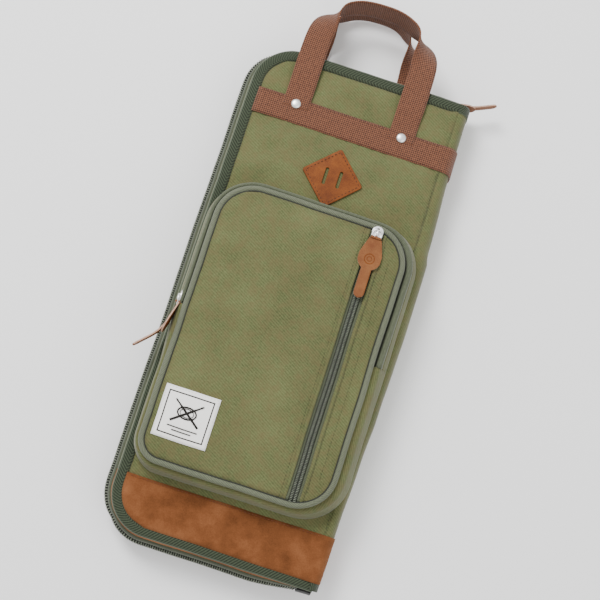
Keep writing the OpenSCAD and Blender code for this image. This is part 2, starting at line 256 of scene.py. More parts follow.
def sweep(name, stations, section, material, loop=False):
    """A closed section of (u, z) points carried along stations of (x, y, nx, ny, s)."""
    points, uv = [], []
    for station in stations:
        x, y, nx, ny, s = station
        ring = section(station) if callable(section) else section
        points += [(x + nx * u, y + ny * u, z) for u, z in ring]
        uv += [(s, v) for v in running(ring)]
    return make(name, points, ring_faces(len(stations), len(ring), loop), material, uv)


def band_section(line, thickness):
    """Closed section from an open line of (u, z), thickened towards its right."""
    left = []
    for k, (u, z) in enumerate(line):
        u0, z0 = line[max(k - 1, 0)]
        u1, z1 = line[min(k + 1, len(line) - 1)]
        n = hypot(u1 - u0, z1 - z0)
        left.append((u + (z1 - z0) / n * thickness, z - (u1 - u0) / n * thickness))
    return list(line) + left[::-1]


# ---- Lines to carry sections along ----

def stations_along(parts, step=5.0):
    """Stations through runs (start, end) and turns (centre, radius, first angle, last angle), with outward normals.
    The path goes anticlockwise, so its outside is on the right."""
    found, s = [], 0.0
    for part in parts:
        if len(part) == 2:
            (x0, y0), (x1, y1) = part
            length = hypot(x1 - x0, y1 - y0)
            nx, ny = (y1 - y0) / length, -(x1 - x0) / length
            count = max(1, round(length / step))
            new = [(mix(x0, x1, i / count), mix(y0, y1, i / count), nx, ny, s + length * i / count)
                   for i in range(count + 1)]
        else:
            (cx, cy), r, first, last = part
            length = r * radians(abs(last - first))
            count = max(6, round(length / (step * 0.7)))
            new = []
            for i in range(count + 1):
                a = radians(mix(first, last, i / count))
                new.append((cx + r * cos(a), cy + r * sin(a), cos(a), sin(a),
                            s + length * i / count))
        found += new if not found else new[1:]
        s += length
    return found

def flared(stations, reach, share):
    """Stations moved outwards by reach times their share of it."""
    moved = []
    for station in stations:
        x, y, nx, ny, s = station
        out = reach * share(station)
        moved.append((x + nx * out, y + ny * out, nx, ny, s))
    return moved


def strip(name, parts, step, share, line, thickness, material, slot_name, body, *replaced):
    """A strip of cloth along runs and turns. Its line is of (outwards, more at full flare, z)."""
    def section(station):
        flare = share(station)
        return band_section([(u + more * flare, z) for u, more, z in line], thickness)

    enter(sweep(name, stations_along(parts, step), section, material), slot_name, body, *replaced)


def path(*corners):
    """Runs and turns from corner to corner of (x, y, radius), anticlockwise, with level and upright sides."""
    parts, (x, y, _) = [], corners[0]
    for cx, cy, r in corners[1:]:
        dx, dy = np.sign(cx - x), np.sign(cy - y)
        parts.append(((x, y), (cx - dx * r, cy - dy * r)))
        if r:
            first = degrees(atan2(-dx, dy)) % 360
            parts.append(((cx - dx * r - dy * r, cy - dy * r + dx * r), r, first, first + 90))
            x, y = cx - dy * r, cy + dx * r
    return parts


def rim(x):
    """The three sewn sides of a half, from the top's place x round to the bottom's."""
    return path((x, TOP, 0), (LEFT, TOP, CORNER_R), (LEFT, BOTTOM, CORNER_R), (x, BOTTOM, 0))


RIM = rim(PANEL_X)
RIM_UPPER = path((PANEL_X, TOP, 0), (LEFT, TOP, CORNER_R), (LEFT, SUEDE_Y, 0))
RIM_LOWER = path((LEFT, SUEDE_Y, 0), (LEFT, BOTTOM, CORNER_R), (PANEL_X, BOTTOM, 0))
POCKET_UPPER = path((POCKET_R, FOLD_Y, 0), (POCKET_R, POCKET_T, POCKET_RADII[1]),
                    (POCKET_L, POCKET_T, POCKET_RADII[0]), (POCKET_L, FOLD_Y, 0))
POCKET_LOWER = path((POCKET_L, FOLD_Y, 0), (POCKET_L, POCKET_B, POCKET_RADII[3]),
                    (POCKET_R, POCKET_B, POCKET_RADII[2]), (POCKET_R, FOLD_Y, 0))


# ---- Materials ----

def rgb(code):
    """Linear colour from a hex code."""
    parts = [int(code[i:i + 2], 16) / 255 for i in (0, 2, 4)]
    return tuple(c / 12.92 if c <= 0.04045 else ((c + 0.055) / 1.055) ** 2.4 for c in parts)


class Shader:
    """A material's nodes, made in a few words."""

    def __init__(self, name):
        self.material = bpy.data.materials.new(name)
        self.material.use_nodes = True
        self.tree = self.material.node_tree
        self.bsdf = self.tree.nodes["Principled BSDF"]

    def node(self, kind, **values):
        made = self.tree.nodes.new(kind)
        for key, value in values.items():
            setattr(made, key, value)
        return made

    def feed(self, target, **values):
        """Gives a node's inputs numbers, colour codes or other nodes' outputs."""
        for key, value in values.items():
            socket = target.inputs[key.replace("_", " ")]
            if isinstance(value, bpy.types.NodeSocket):
                self.tree.links.new(value, socket)
            else:
                socket.default_value = (*rgb(value), 1) if isinstance(value, str) else value
        return target

    def weave(self, scale=1.0):
        """Weave coordinates in millimetres, scaled."""
        uv = self.node("ShaderNodeUVMap", uv_map="weave")
        return self.feed(self.node("ShaderNodeMapping"), Vector=uv.outputs[0], Scale=(scale,) * 3).outputs[0]

    def place(self, scale):
        """Position on the object, in millimetres times scale."""
        spot = self.node("ShaderNodeTexCoord").outputs["Object"]
        return self.feed(self.node("ShaderNodeMapping"), Vector=spot, Scale=(scale / MM,) * 3).outputs[0]

    def math(self, operation, *values):
        made = self.node("ShaderNodeMath", operation=operation)
        for socket, value in zip(made.inputs, values):
            if isinstance(value, bpy.types.NodeSocket):
                self.tree.links.new(value, socket)
            else:
                socket.default_value = value
        return made.outputs[0]

    def total(self, *parts):
        """The sum of (value, weight) parts."""
        found = None
        for value, weight in parts:
            share = self.math("MULTIPLY", value, weight)
            found = self.math("ADD", found, share) if found else share
        return found

    def noise(self, vector, detail=3.0, rough=0.55):
        made = self.node("ShaderNodeTexNoise")
        return self.feed(made, Vector=vector, Scale=1.0, Detail=detail, Roughness=rough).outputs["Fac"]

    def split(self, vector):
        return self.feed(self.node("ShaderNodeSeparateXYZ"), Vector=vector).outputs[:2]

    def ridge(self, value, period):
        """Rounded ridges across value, from 0 to 1."""
        wave = self.math("SINE", self.math("MULTIPLY", value, 2 * pi / period))
        return self.math("ADD", self.math("MULTIPLY", wave, 0.5), 0.5)

    def ramp(self, fac, *stops):
        """A colour for fac, through stops of (place, colour code)."""
        made = self.node("ShaderNodeValToRGB")
        elements = made.color_ramp.elements
        while len(elements) < len(stops):
            elements.new(0.5)
        for element, (at, colour) in zip(elements, stops):
            element.position = at
            element.color = (*rgb(colour), 1)
        return self.feed(made, Fac=fac).outputs[0]

    def blend(self, fac, under, over):
        made = self.node("ShaderNodeMix", data_type="RGBA")
        self.tree.links.new(fac, made.inputs[0])
        self.tree.links.new(under, made.inputs[6])
        made.inputs[7].default_value = (*rgb(over), 1)
        return made.outputs[2]

    def bump(self, height, strength, distance):
        made = self.feed(self.node("ShaderNodeBump"), Height=height, Strength=strength, Distance=distance * MM)
        self.feed(self.bsdf, Normal=made.outputs[0])

    def surface(self, colour, **values):
        self.feed(self.bsdf, Base_Color=colour, **values)
        return self.material


def cloth(name, dark, light, thread=1.0, contrast=0.5, patches=0.5, sheen=0.15, rough=0.85, depth=0.25, tint=None):
    """Woven cloth: a slanted twill of threads, with broad and fine changes of colour."""
    s = Shader(name)
    u, v = s.split(s.weave())
    twill = s.ridge(s.total((u, 0.5), (v, 0.87)), thread * 2)
    yarn = s.ridge(s.total((u, 0.87), (v, -0.5)), thread)
    height = s.total((twill, 0.7), (yarn, 0.3))
    fleck = s.noise(s.weave(0.45), 4.0, 0.75)
    broad = s.noise(s.place(0.02), 3.0)
    tone = s.total((height, contrast), (fleck, 1 - contrast), (broad, patches))
    colour = s.ramp(s.math("DIVIDE", tone, 1 + patches), (0.25, dark), (0.75, light))
    if tint:
        cloud = s.ramp(s.noise(s.place(0.11), 5.0, 0.7), (0.4, "000000"), (0.66, "ffffff"))
        colour = s.blend(s.math("MULTIPLY", cloud, 0.55), colour, tint)
    s.bump(height, 0.5, depth)
    return s.surface(colour, Roughness=rough, Sheen_Weight=sheen, Sheen_Roughness=0.5, Specular_IOR_Level=0.25)


def herringbone(name, dark, light, rim):
    """Narrow tape woven in slanted ribs that turn at its middle, with a lighter edge: a painted highlight where the
    tape rolls over the bag's edge, partly the weave's own lighter edge.
    """
    s = Shader(name)
    u, v = s.split(s.weave())
    fold = s.math("ABSOLUTE", s.math("SUBTRACT", v, 3.4))
    ribs, fine = s.ridge(s.total((u, 1.0), (fold, 0.9)), 3.0), s.ridge(s.total((u, 1.0), (fold, -2.0)), 1.1)
    height = s.total((ribs, 0.75), (fine, 0.25))
    tone = s.total((height, 0.55), (s.noise(s.weave(0.6), 3.0, 0.7), 0.45))
    colour = s.ramp(tone, (0.22, dark), (0.78, light))
    # painted highlight: the rim colour is blended in near v = 11.4 mm, where the tape rolls over the bag's edge
    edge = s.math("SUBTRACT", 1.0, s.math("MULTIPLY", s.math("ABSOLUTE", s.math("SUBTRACT", v, 11.4)), 0.8))
    colour = s.blend(s.math("MAXIMUM", s.math("MULTIPLY", edge, 0.8), 0.0), colour, rim)
    s.bump(height, 0.7, 0.35)
    return s.surface(colour, Roughness=0.8, Sheen_Weight=0.15, Specular_IOR_Level=0.25)


def basket(name, dark, light):
    """Coarse webbing: two sets of fat threads that pass over and under each other."""
    s = Shader(name)
    u, v = s.split(s.weave())
    over = s.ridge(s.math("ADD", u, v), 1.9)
    across = s.math("MULTIPLY", s.ridge(u, 1.9), over)
    down = s.math("MULTIPLY", s.ridge(v, 1.9), s.math("SUBTRACT", 1.0, over))
    height = s.math("MAXIMUM", across, down)
    tone = s.total((height, 0.6), (s.noise(s.weave(0.35), 3.0, 0.6), 0.4))
    s.bump(height, 0.9, 0.5)
    return s.surface(s.ramp(tone, (0.18, dark), (0.75, light)), Roughness=0.75, Sheen_Weight=0.1,
                     Specular_IOR_Level=0.3)


def suede():
    """Brown suede, cloudy and matt."""
    s = Shader("suede")
    nap = s.noise(s.place(0.9), 4.0, 0.7)
    tone = s.total((s.noise(s.place(0.035), 5.0, 0.62), 0.72), (nap, 0.28))
    s.bump(nap, 0.5, 0.25)
    return s.surface(s.ramp(tone, (0.32, "4e2c16"), (0.5, "6c4024"), (0.7, "875636")), Roughness=0.95,
                     Sheen_Weight=0.25, Sheen_Roughness=0.6, Specular_IOR_Level=0.1, Sheen_Tint="c89468")


def leather(name, dark, light, grain=1.1):
    """Grained leather with fine pores."""
    s = Shader(name)
    cells = s.feed(s.node("ShaderNodeTexVoronoi", feature="DISTANCE_TO_EDGE"), Vector=s.place(grain), Scale=1.0)
    pores = s.math("MINIMUM", s.math("MULTIPLY", cells.outputs["Distance"], 3.0), 1.0)
    tone = s.total((pores, 0.25), (s.noise(s.place(0.07), 4.0), 0.75))
    s.bump(pores, 0.35, 0.12)
    return s.surface(s.ramp(tone, (0.3, dark), (0.75, light)), Roughness=0.6, Specular_IOR_Level=0.2)


def plain(name, dark, light, scale=1.0, rough=0.7, metal=0.0, bump=0.05):
    """Moulded, cast or spun stuff, with slight unevenness."""
    s = Shader(name)
    spots = s.noise(s.place(scale), 4.0)
    s.bump(spots, 0.3, bump)
    return s.surface(s.ramp(spots, (0.3, dark), (0.7, light)), Roughness=rough, Metallic=metal)


CANVAS = cloth("canvas", "2d3316", "6f754a", thread=1.1, contrast=0.28, depth=0.16, tint="615536")
TAPE = cloth("grey_green_tape", "353a2b", "646a54", thread=0.7, contrast=0.45, patches=0.2, rough=0.8)
ZIP_TAPE = cloth("dark_zipper_tape", "2a2f22", "535945", thread=0.7, contrast=0.45, patches=0.2, rough=0.8)
PIPING = cloth("grey_green_piping", "3d4232", "6e735e", thread=0.8, contrast=0.45, patches=0.15, rough=0.7)
LINING = cloth("dark_lining", "222320", "3e3f3b", thread=0.8, contrast=0.4, patches=0.3, rough=0.7)
TAB = cloth("black_tab", "0c0c0c", "1c1c1c", thread=0.8)
LABEL = cloth("white_label", "efece6", "fdfcf9", thread=0.6, contrast=0.4, patches=0.1, sheen=0.0, depth=0.08)
LABEL_INK = cloth("dark_label_thread", "12100e", "26221f", thread=0.6, sheen=0.0)
# the third colour is the painted highlight along the binding's rolled edge
BINDING = herringbone("dark_green_herringbone", "0f130a", "424c38", "525d47")
WEBBING = basket("brown_webbing", "1f0b06", "8d593e")
SUEDE = suede()
LEATHER = leather("patch_leather", "5a2a0a", "894c18")
PULL_LEATHER = leather("pull_leather", "67381b", "8c5c34", 1.6)
# Lighter pinkish colour on the pulls' cut edges: painted highlight where the edges catch the light.
LEATHER_EDGE_HIGHLIGHT = plain("leather_edge_highlight", "99705a", "cfae99", 0.9, 0.8)
# Light grey-green teeth: partly the coil's own colour, partly painted glint on its loops.
COIL = plain("nylon_coil", "4a5043", "8a907e", 0.5, 0.3)
# Near-black: the coil's own dark colour under the teeth, and painted shade in the gaps between coil rows and in the
# grooves round the pocket's piping.
COIL_AND_SHADE_BASE = plain("dark_coil_and_painted_shade", "0c0f08", "1a1e13", 0.5)
STEEL = plain("bright_steel", "e6e7e5", "fafaf8", 0.3, 0.36, 1.0, 0.01)
OLIVE_THREAD = plain("olive_thread", "2d3018", "454828")
BROWN_THREAD = plain("brown_thread", "45241a", "6b4030")
TAN_THREAD = plain("tan_thread", "5c2814", "7e4020")
DARK_THREAD = plain("dark_brown_thread", "241006", "3c1c0c")
WHITE_THREAD = plain("white_thread", "d8d4cc", "f0eee8")


# ---- Stitches and zipper teeth ----

def stitches(name, line, material, length=2.6, gap=1.1, d=0.5, soft=True):
    """Short threads laid end to end along a line of points."""
    line = [Vector(p) for p in line]
    marks = [0.0]
    for a, b in zip(line, line[1:]):
        marks.append(marks[-1] + (b - a).length)

    def at(s):
        for k in range(1, len(line)):
            if s <= marks[k] or k == len(line) - 1:
                t = (s - marks[k - 1]) / max(marks[k] - marks[k - 1], 1e-6)
                return line[k - 1].lerp(line[k], t)

    points, faces, s = [], [], gap / 2
    while s + length < marks[-1]:
        a, b = at(s), at(s + length)
        run = (b - a).normalized()
        side = run.orthogonal().normalized()
        other = run.cross(side)
        first = len(points)
        points.append(a)
        for share in (0.25, 0.75):
            for k in range(4):
                turn = k * pi / 2
                points.append(a.lerp(b, share) + (side * cos(turn) + other * sin(turn)) * d / 2)
        points.append(b)
        for k in range(4):
            n = (k + 1) % 4
            faces += [(first, first + 1 + k, first + 1 + n),
                      (first + 1 + k, first + 5 + k, first + 5 + n, first + 1 + n),
                      (first + 9, first + 5 + n, first + 5 + k)]
        s += length + gap
    return make(name, points, faces, material, soft=soft)


def teeth(name, stations, inner, outer, lift, pitch=2.1, shift=0.0):
    """A row of coil loops. Each runs from inner to outer, both (u, z), and arches by lift."""
    points, faces = [], []
    s, k = stations[0][4] + shift, 0
    reach_u, reach_z = outer[0] - inner[0], outer[1] - inner[1]
    length = hypot(reach_u, reach_z)
    up_u, up_z = -reach_z / length, reach_u / length
    while s < stations[-1][4] - pitch / 2:
        while stations[k + 1][4] < s:
            k += 1
        a, b = stations[k], stations[k + 1]
        x, y, nx, ny = (mix(a[i], b[i], (s - a[4]) / (b[4] - a[4])) for i in range(4))
        faces += [tuple(len(points) + n for n in face) for face in ring_faces(5, 5)]
        for share in (0, 0.25, 0.5, 0.75, 1):
            rise = lift * sin(pi * share)
            u = inner[0] + reach_u * share + up_u * rise
            z = inner[1] + reach_z * share + up_z * rise
            for turn in full_turn(5):
                side, high = 0.52 * pitch / 2 * cos(turn), 0.45 * sin(turn)
                out = u + up_u * high
                points.append((x + nx * out - ny * side, y + ny * out + nx * side, z + up_z * high))
        s += pitch
    return make(name, points, faces, COIL)


# ---- Soft pads by simulation ----

def inflate(obj, pinned, pressure, cap, growth=0.01, frames=16):
    """Fills a sheet held at its pinned points with Blender's cloth, and keeps the shape that it takes."""
    rest = [v.co.copy() for v in obj.data.vertices]
    group = obj.vertex_groups.new(name="pin")
    group.add(pinned, 1.0, "REPLACE")
    cloth_mod = obj.modifiers.new("cloth", "CLOTH")
    settings = cloth_mod.settings
    settings.quality = 6
    settings.mass = 0.25
    settings.tension_stiffness = settings.compression_stiffness = settings.shear_stiffness = 12
    settings.bending_stiffness = 0.6
    settings.vertex_group_mass = "pin"
    settings.shrink_min = -growth
    settings.use_pressure = True
    settings.uniform_pressure_force = pressure
    settings.effector_weights.gravity = 0
    cloth_mod.collision_settings.use_collision = False
    scene = bpy.context.scene
    cloth_mod.point_cache.frame_start, cloth_mod.point_cache.frame_end = 1, frames
    for number in range(1, frames + 1):
        scene.frame_set(number)
    graph = bpy.context.evaluated_depsgraph_get()
    moved = [v.co.copy() for v in obj.evaluated_get(graph).data.vertices]
    obj.modifiers.clear()
    obj.vertex_groups.clear()
    for vertex, a, b in zip(obj.data.vertices, rest, moved):
        step = b - a
        if step.length > cap * MM:
            step *= cap * MM / step.length
        vertex.co = a + step
    scene.frame_set(1)


RESTS = {}


def remember(obj):
    """Keeps the shape of a stuffed piece, for what is sewn on it."""
    mesh = obj.data
    RESTS[obj.name] = BVHTree.FromPolygons([v.co for v in mesh.vertices], [tuple(p.vertices) for p in mesh.polygons])


def height_on(name, x, y):
    """How high that piece's stuffed cloth lies at (x, y), or None beside it."""
    hit = RESTS[name].ray_cast(Vector((x, y, 200)) * MM, Vector((0, 0, -1)))[0]
    return hit and hit.z / MM


def settled(name, x, y, z):
    """The height z, moved to where that piece's stuffed cloth has come to lie at (x, y)."""
    px, py, pz = soften((x, y, z))
    found = height_on(name, px, py)
    return z if found is None else z + found - pz


def stuffed(name, rows, thickness, puff=None, turned=False, sewn=lambda y: False):
    """A closed panel of canvas on rows of points, blown up by puff between its edges and what is sewn down."""
    count, width = len(rows), len(rows[0])
    points = [p for row in rows for p in row]
    faces = [(i * width + k, i * width + k + 1, (i + 1) * width + k + 1, (i + 1) * width + k)
             for i in range(count - 1) for k in range(width - 1)]
    obj = make(name, points, [face[::-1] for face in faces] if turned else faces, CANVAS, [p[:2] for p in points])
    if puff:
        held = [n for n, p in enumerate(points)
                if n % width in (0, width - 1) or n // width in (0, count - 1) or sewn(p[1])]
        inflate(obj, held, *puff)
    thick = obj.modifiers.new("pad", "SOLIDIFY")
    thick.thickness = thickness * MM
    thick.offset = -1
    return bake(obj)


# ---- One half of the bag ----

def rim_x(y, inset):
    """Left edge of a half's outline at height y, moved in by inset."""
    r = CORNER_R - inset
    over = abs(y) - (TOP - CORNER_R)
    if over <= 0:
        return LEFT + inset
    return LEFT + CORNER_R - sqrt(max(r * r - min(over, r) ** 2, 0))


def pad_depth(x, y):
    """Depth of the padded panel's face below the bag's face plane: crowned between its seams."""
    edge = min(x - rim_x(y, PAD_INSET), TOP - PAD_INSET - abs(y))
    seam = min(abs(y - BAND_Y), abs(y - BAND_TOP), abs(y - SUEDE_Y))
    if BAND_Y < y < BAND_TOP or y < SUEDE_Y:
        seam = 0.0
    rise = 3.4 if y < BAND_Y else 1.9
    crown = rise * (1 - exp(-max(edge, 0) / 13)) * (0.45 + 0.55 * (1 - exp(-seam / 12)))
    right = smooth((x - (STITCH_X - 9)) / 9)
    return mix(3.3 - crown, SEAM_DEPTH, right)


SPINE_SWELL = [(-240, 1), (-180, 2.4), (-114, 5), (-75, 7), (20, 9), (80, 9), (92, 6.6), (170, 4), (240, 3.4)]


def wrap_line(y, offset, count=12):
    """Points (x, depth) from the stitch beside the spine to the spine's middle, offset outwards."""
    reach = SPINE_X - STITCH_X + along(SPINE_SWELL, y)
    line = []
    for i in range(count + 1):
        a = pi / 2 * i / count
        # superellipse: flat on the spine's middle, round at its edge
        c, s = cos(a) ** 0.75, sin(a) ** 0.75
        nx, nd = sin(a), -cos(a)
        line.append((STITCH_X + reach * s + nx * offset, SEAM_DEPTH + (MID - SEAM_DEPTH) * (1 - c) + nd * offset))
    return line


def depth_to_z(front, depth):
    """Height of a place at a depth below the half's face plane."""
    return THICK - depth if front else depth


def padded_panel(half, front):
    """The canvas face of one half: a closed pad, crowned between binding, band, suede and spine."""
    rows = []
    high = TOP - PAD_INSET - 0.1
    for y in rows_between(-high, high, 4.5):
        xs = [mix(rim_x(y, PAD_INSET), STITCH_X + 0.4, i / 44) for i in range(45)]
        rows.append([(x, y, depth_to_z(front, pad_depth(x, y))) for x in xs])
    face = stuffed(half + "_panel_pad", rows, 3.0, (1.2, 2.2, 0.006), not front,
                   lambda y: BAND_Y - 1 < y < BAND_TOP + 1 or y < SUEDE_Y + 1)
    if not front:
        # the back lies on a table, which presses its pad nearly flat
        free, give = 0.4, 0.8
        for vertex in face.data.vertices:
            over = -free - vertex.co.z / MM
            if over > 0:
                vertex.co.z = -(free + give * (1 - exp(-over / give))) * MM
    remember(face)
    enter(face, "canvas", half + "_half", half + "_panel")


def spine_sheet(name, front, ys, lines, material, thickness, slot_name, replaced=(), start=0.0, uv=None):
    """A sheet that bends at the spine, from a line of (x, depth) at each height."""
    rows = [[(x, y, depth_to_z(front, d)) for x, d in line] for y, line in zip(ys, lines)]
    uv = uv or [[(start + across, y) for across in running(line)] for y, line in zip(ys, lines)]
    obj = sheet_shell(name, rows, material, thickness, uv, turned=front)
    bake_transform(obj)
    enter(obj, slot_name, None, *replaced)


def over_face(half, front, part, node, spine_node, y0, y1, lift, thickness, material, step, slot_name):
    """A layer sewn over a half's face from the binding round to the middle of the spine."""
    ys, lines = rows_between(y0, y1, step), []
    for y in ys:
        left, line = rim_x(y, PAD_INSET + 0.1), []
        for i in range(31):
            x = mix(left, STITCH_X - 1.5, i / 30)
            swell = 0.5 * (1 - exp(-max(min(x - left, y1 - y, y - y0), 0) / 8))
            line.append((x, SEAM_DEPTH + smooth((STITCH_X - 2 - x) / 12) * 1.1 - lift - swell))
        lines.append(line + wrap_line(y, lift))
    spine_sheet(f"{half}_{part}", front, ys, lines, material, thickness, slot_name,
                [f"{half}_{node}"] + ([spine_node] if front else []))


def spine_cover(half, front):
    """Canvas from the stitch beside the spine to the spine's middle, its lining, and the binding over its ends."""
    for part, node, inset, offset, thickness, material in (("canvas", "spine_panel", 2, 0.1, 2.6, CANVAS),
                                                           ("lining", "spine_lining", 5, -2.7, 0.8, LINING)):
        ys = rows_between(BOTTOM + inset, TOP - inset, 6)
        spine_sheet(f"{half}_spine_{part}", front, ys, [wrap_line(y, offset, 14) for y in ys], material, thickness,
                    part, [node] if front else [], STITCH_X)
    for end, low, high in (("top", TOP - 10.4, TOP - 1), ("bottom", BOTTOM + 1, BOTTOM + 10.4)):
        ys = rows_between(low, high, 1.6)
        uv = [[(STITCH_X + k * 2.2, (high - y if end == "top" else y - low) + 2) for k in range(15)] for y in ys]
        spine_sheet(f"{half}_spine_binding_{end}", front, ys, [wrap_line(y, 0.8, 14) for y in ys], BINDING, 0.7,
                    "binding", uv=uv)


def flare_at(station):
    """How far the rim's cloth stands out: not on the top run, where the slider travels, and little at the spine."""
    x, _, nx, ny, _ = station
    side = smooth(max(-nx, -ny) if ny <= 0 else -nx)
    return side * (0.35 + 0.65 * smooth((PANEL_X - x) / 60))


# lines of (outwards, more at full flare, depth)
GUSSET_LINE = [(-0.9, 0.0, 5.6), (-0.4, 0.8, 7.2), (-0.1, 1.2, 9.5), (0, 1.6, 12.0), (-0.3, 2.1, 13.6)]
TAPE_LINE = [(-0.4, 1.7, 12.4), (-0.3, 2.5, 12.6), (-0.4, 3.9, 13.4), (-0.5, 5.1, 15.0), (-0.7, 5.8, 17.2),
             (-0.8, 5.7, 19.2), (-0.9, 5.4, 21.0)]
# The coil's base strip is near-black: the coil's dark colour, with painted shade in the gaps beside and between the
# teeth.
COIL_LINE = [(-0.9, 5.2, 20.9), (-0.8, 7.2, 21.9), (-0.8, 9.2, 22.9)]
BINDING_LINE = [(-10.6, 3.0), (-9.9, 2.0), (-8.2, 1.55), (-5.0, 1.3), (-2.2, 1.45), (-0.6, 2.2), (0.3, 3.7),
                (0.2, 5.3), (-0.7, 6.5), (-1.7, 5.9), (-1.5, 4.6), (-3.0, 3.5), (-9.8, 3.9)]


def binding(half, front):
    """The herringbone tape folded over the half's sewn edge, with its row of stitches."""
    stations = stations_along(RIM, 4)
    tape = sweep(half + "_binding_tape", stations, [(u, depth_to_z(front, d)) for u, d in BINDING_LINE], BINDING)
    enter(tape, "binding", half + "_half", half + "_binding")
    inner = [(x - nx * 9.3, y - ny * 9.3, depth_to_z(front, 1.75)) for x, y, nx, ny, _ in stations]
    seam = stitches(half + "_binding_stitches", inner, OLIVE_THREAD, 2.4, 1.4)
    enter(seam, "binding", half + "_half")


def main_zipper(half, front):
    """The wall on the half's three sewn sides: canvas, suede, zipper tape, and the coil with its teeth."""
    coil_parts = rim(ZIPPER_END_X)
    for name, node, parts, line, thickness, material, slot_name in (
            ("gusset_canvas", "gusset", RIM_UPPER, GUSSET_LINE, 1.0, CANVAS, "canvas"),
            ("gusset_suede_strip", "gusset_suede", RIM_LOWER, GUSSET_LINE, 1.0, SUEDE, "suede"),
            ("zipper_cloth", "zipper_tape", RIM, TAPE_LINE, 0.8, ZIP_TAPE, "piping"),
            ("zipper_coil_shade_base", "zipper_coil", coil_parts, COIL_LINE, 0.9, COIL_AND_SHADE_BASE, "coil")):
        line = [(u, more, depth_to_z(front, d)) for u, more, d in line]
        strip(f"{half}_{name}", parts, 5, flare_at, line, thickness if front else -thickness, material, slot_name,
              half + "_half", f"{half}_{node}")
    stations = flared(stations_along(coil_parts, 4), COIL_FLARE, flare_at)
    inner, outer = (-3.2, depth_to_z(front, 20.9)), (0.2, depth_to_z(front, 22.0))
    lift, shift = (0.8, 0) if front else (-0.8, 1.1)
    enter(teeth(half + "_zipper_teeth", stations, inner, outer, lift, 2.2, shift), "coil", half + "_half")


# ---- Inside of one half ----

def inner_sheet(half, front, name, ends, heights, columns, depth, material, thickness, slot_name, *replaced):
    """A sheet over a half's inside. ends(y) gives its two sides, and depth(t, x, y) how deep it lies."""
    rows = []
    for y in rows_between(*heights):
        xs = [mix(*ends(y), i / columns) for i in range(columns + 1)]
        rows.append([(x, y, depth_to_z(front, depth(i / columns, x, y))) for i, x in enumerate(xs)])
    obj = sheet_shell(f"{half}_{name}", rows, material, thickness, turned=front)
    enter(obj, slot_name, half + "_half", *replaced)


def lining(half, front):
    """The half's lining, softly quilted."""
    def depth(t, x, y):
        quilt = sin(pi * (x + y) / 48) * sin(pi * (x - y) / 48)
        return 6.5 + 0.5 * abs(quilt) * smooth((x - rim_x(y, 3.5)) / 12)

    inner_sheet(half, front, "lining_cloth", lambda y: (rim_x(y, 3.5), PANEL_X - 0.4), (BOTTOM + 3.6, TOP - 3.6, 6),
                34, depth, LINING, -0.8, "lining", half + "_lining")


def stick_pocket(half, front, name, x0, x1, mouth, sleeves):
    """A cloth pocket for sticks: sewn down at its sides and foot, swelling into sleeves, with a bound mouth."""
    foot = BOTTOM + 7

    def ends(y):
        return max(x0, rim_x(y, 6.6)), x1

    def depth(t, x, y):
        swell = (1 - abs(2 * t - 1) ** 5) ** 0.5 * smooth((y - foot) / 16 + 0.02)
        return 7.0 + swell * (11.5 + 2.6 * abs(sin(pi * sleeves * t)) ** 0.6)

    inner_sheet(half, front, name + "_pocket_cloth", ends, (foot, mouth, 5), 12 * sleeves, depth, LINING, -0.9,
                "lining", f"{half}_stick_pocket_{name}")
    inner_sheet(half, front, name + "_pocket_hem", ends, (mouth - 9, mouth + 0.6, 1.6), 12 * sleeves,
                lambda t, x, y: depth(t, x, y) + 0.7, BINDING, -1.9, "binding")


def zipper_tabs():
    """Black cloth tabs over the two ends of the main zipper."""
    low, high = box("main_zipper_end_tabs")
    for end, side in (("top", 1), ("bottom", -1)):
        rows = []
        for x in rows_between(low[0] - 1.5, high[0] + 0.8, 2.4):
            out = TOP + 0.9 + (0.0 if side > 0 else 7.0 * flare_at((x, BOTTOM, 0, -1, 0)))
            rows.append([(x, side * (out - 0.7 * (t / 6) ** 2), MID + t) for t in rows_between(-8, 12, 1.5)])
        obj = sheet_shell(f"zipper_tab_{end}", rows, TAB, 1.0, turned=side < 0)
        enter(obj, "black_tab", "back_half", *(["main_zipper_end_tabs"] if side > 0 else []))


# ---- Handles, rivets and lash patch ----

RIVET_PROFILE = [(0.4, 2.2), (2.2, 2.1), (3.5, 1.75), (4.4, 1.15), (4.8, 0.5), (4.7, 0.0)]
LEG_FOOT = BAND_TOP - 9
LEG_TOP = TOP + 6
LEG_SHARE = 0.3
# how far the front and back arches rise past the CAD handles
HANDLE_EXTRA = {True: 7.0, False: 13.0}


def rivet(name, place, flip, turns=28):
    """A domed rivet cap standing at place, with flip of -1 where it points down."""
    x, y, z = place
    points = [(x + r * cos(a), y + r * sin(a), z + flip * high)
              for r, high in RIVET_PROFILE for a in full_turn(turns)]
    return make(name, points, ring_faces(len(RIVET_PROFILE), turns), STEEL, soft=False)


def strap_middle(t, front):
    """The strap's middle line at t from 0 to 1, as (x, y). The back one leans a little to the left."""
    if min(t, 1 - t) < LEG_SHARE:
        share, side = (t / LEG_SHARE, -1) if t < 0.5 else ((1 - t) / LEG_SHARE, 1)
        x, y = side * HANDLE_HALF, mix(LEG_FOOT, LEG_TOP, share)
    else:
        a = pi * (1 - (t - LEG_SHARE) / (1 - 2 * LEG_SHARE))
        c, s = cos(a), max(sin(a), 0)
        rise = HANDLE_TOP - LEG_TOP + HANDLE_EXTRA[front]
        x, y = HANDLE_HALF * copysign(abs(c) ** 0.8, c), LEG_TOP + rise * s ** 0.75
    lean = 0 if front else 6.5 * smooth((y - TOP + 12) / 30) * smooth((t - 0.48) / 0.12)
    return x - lean, y


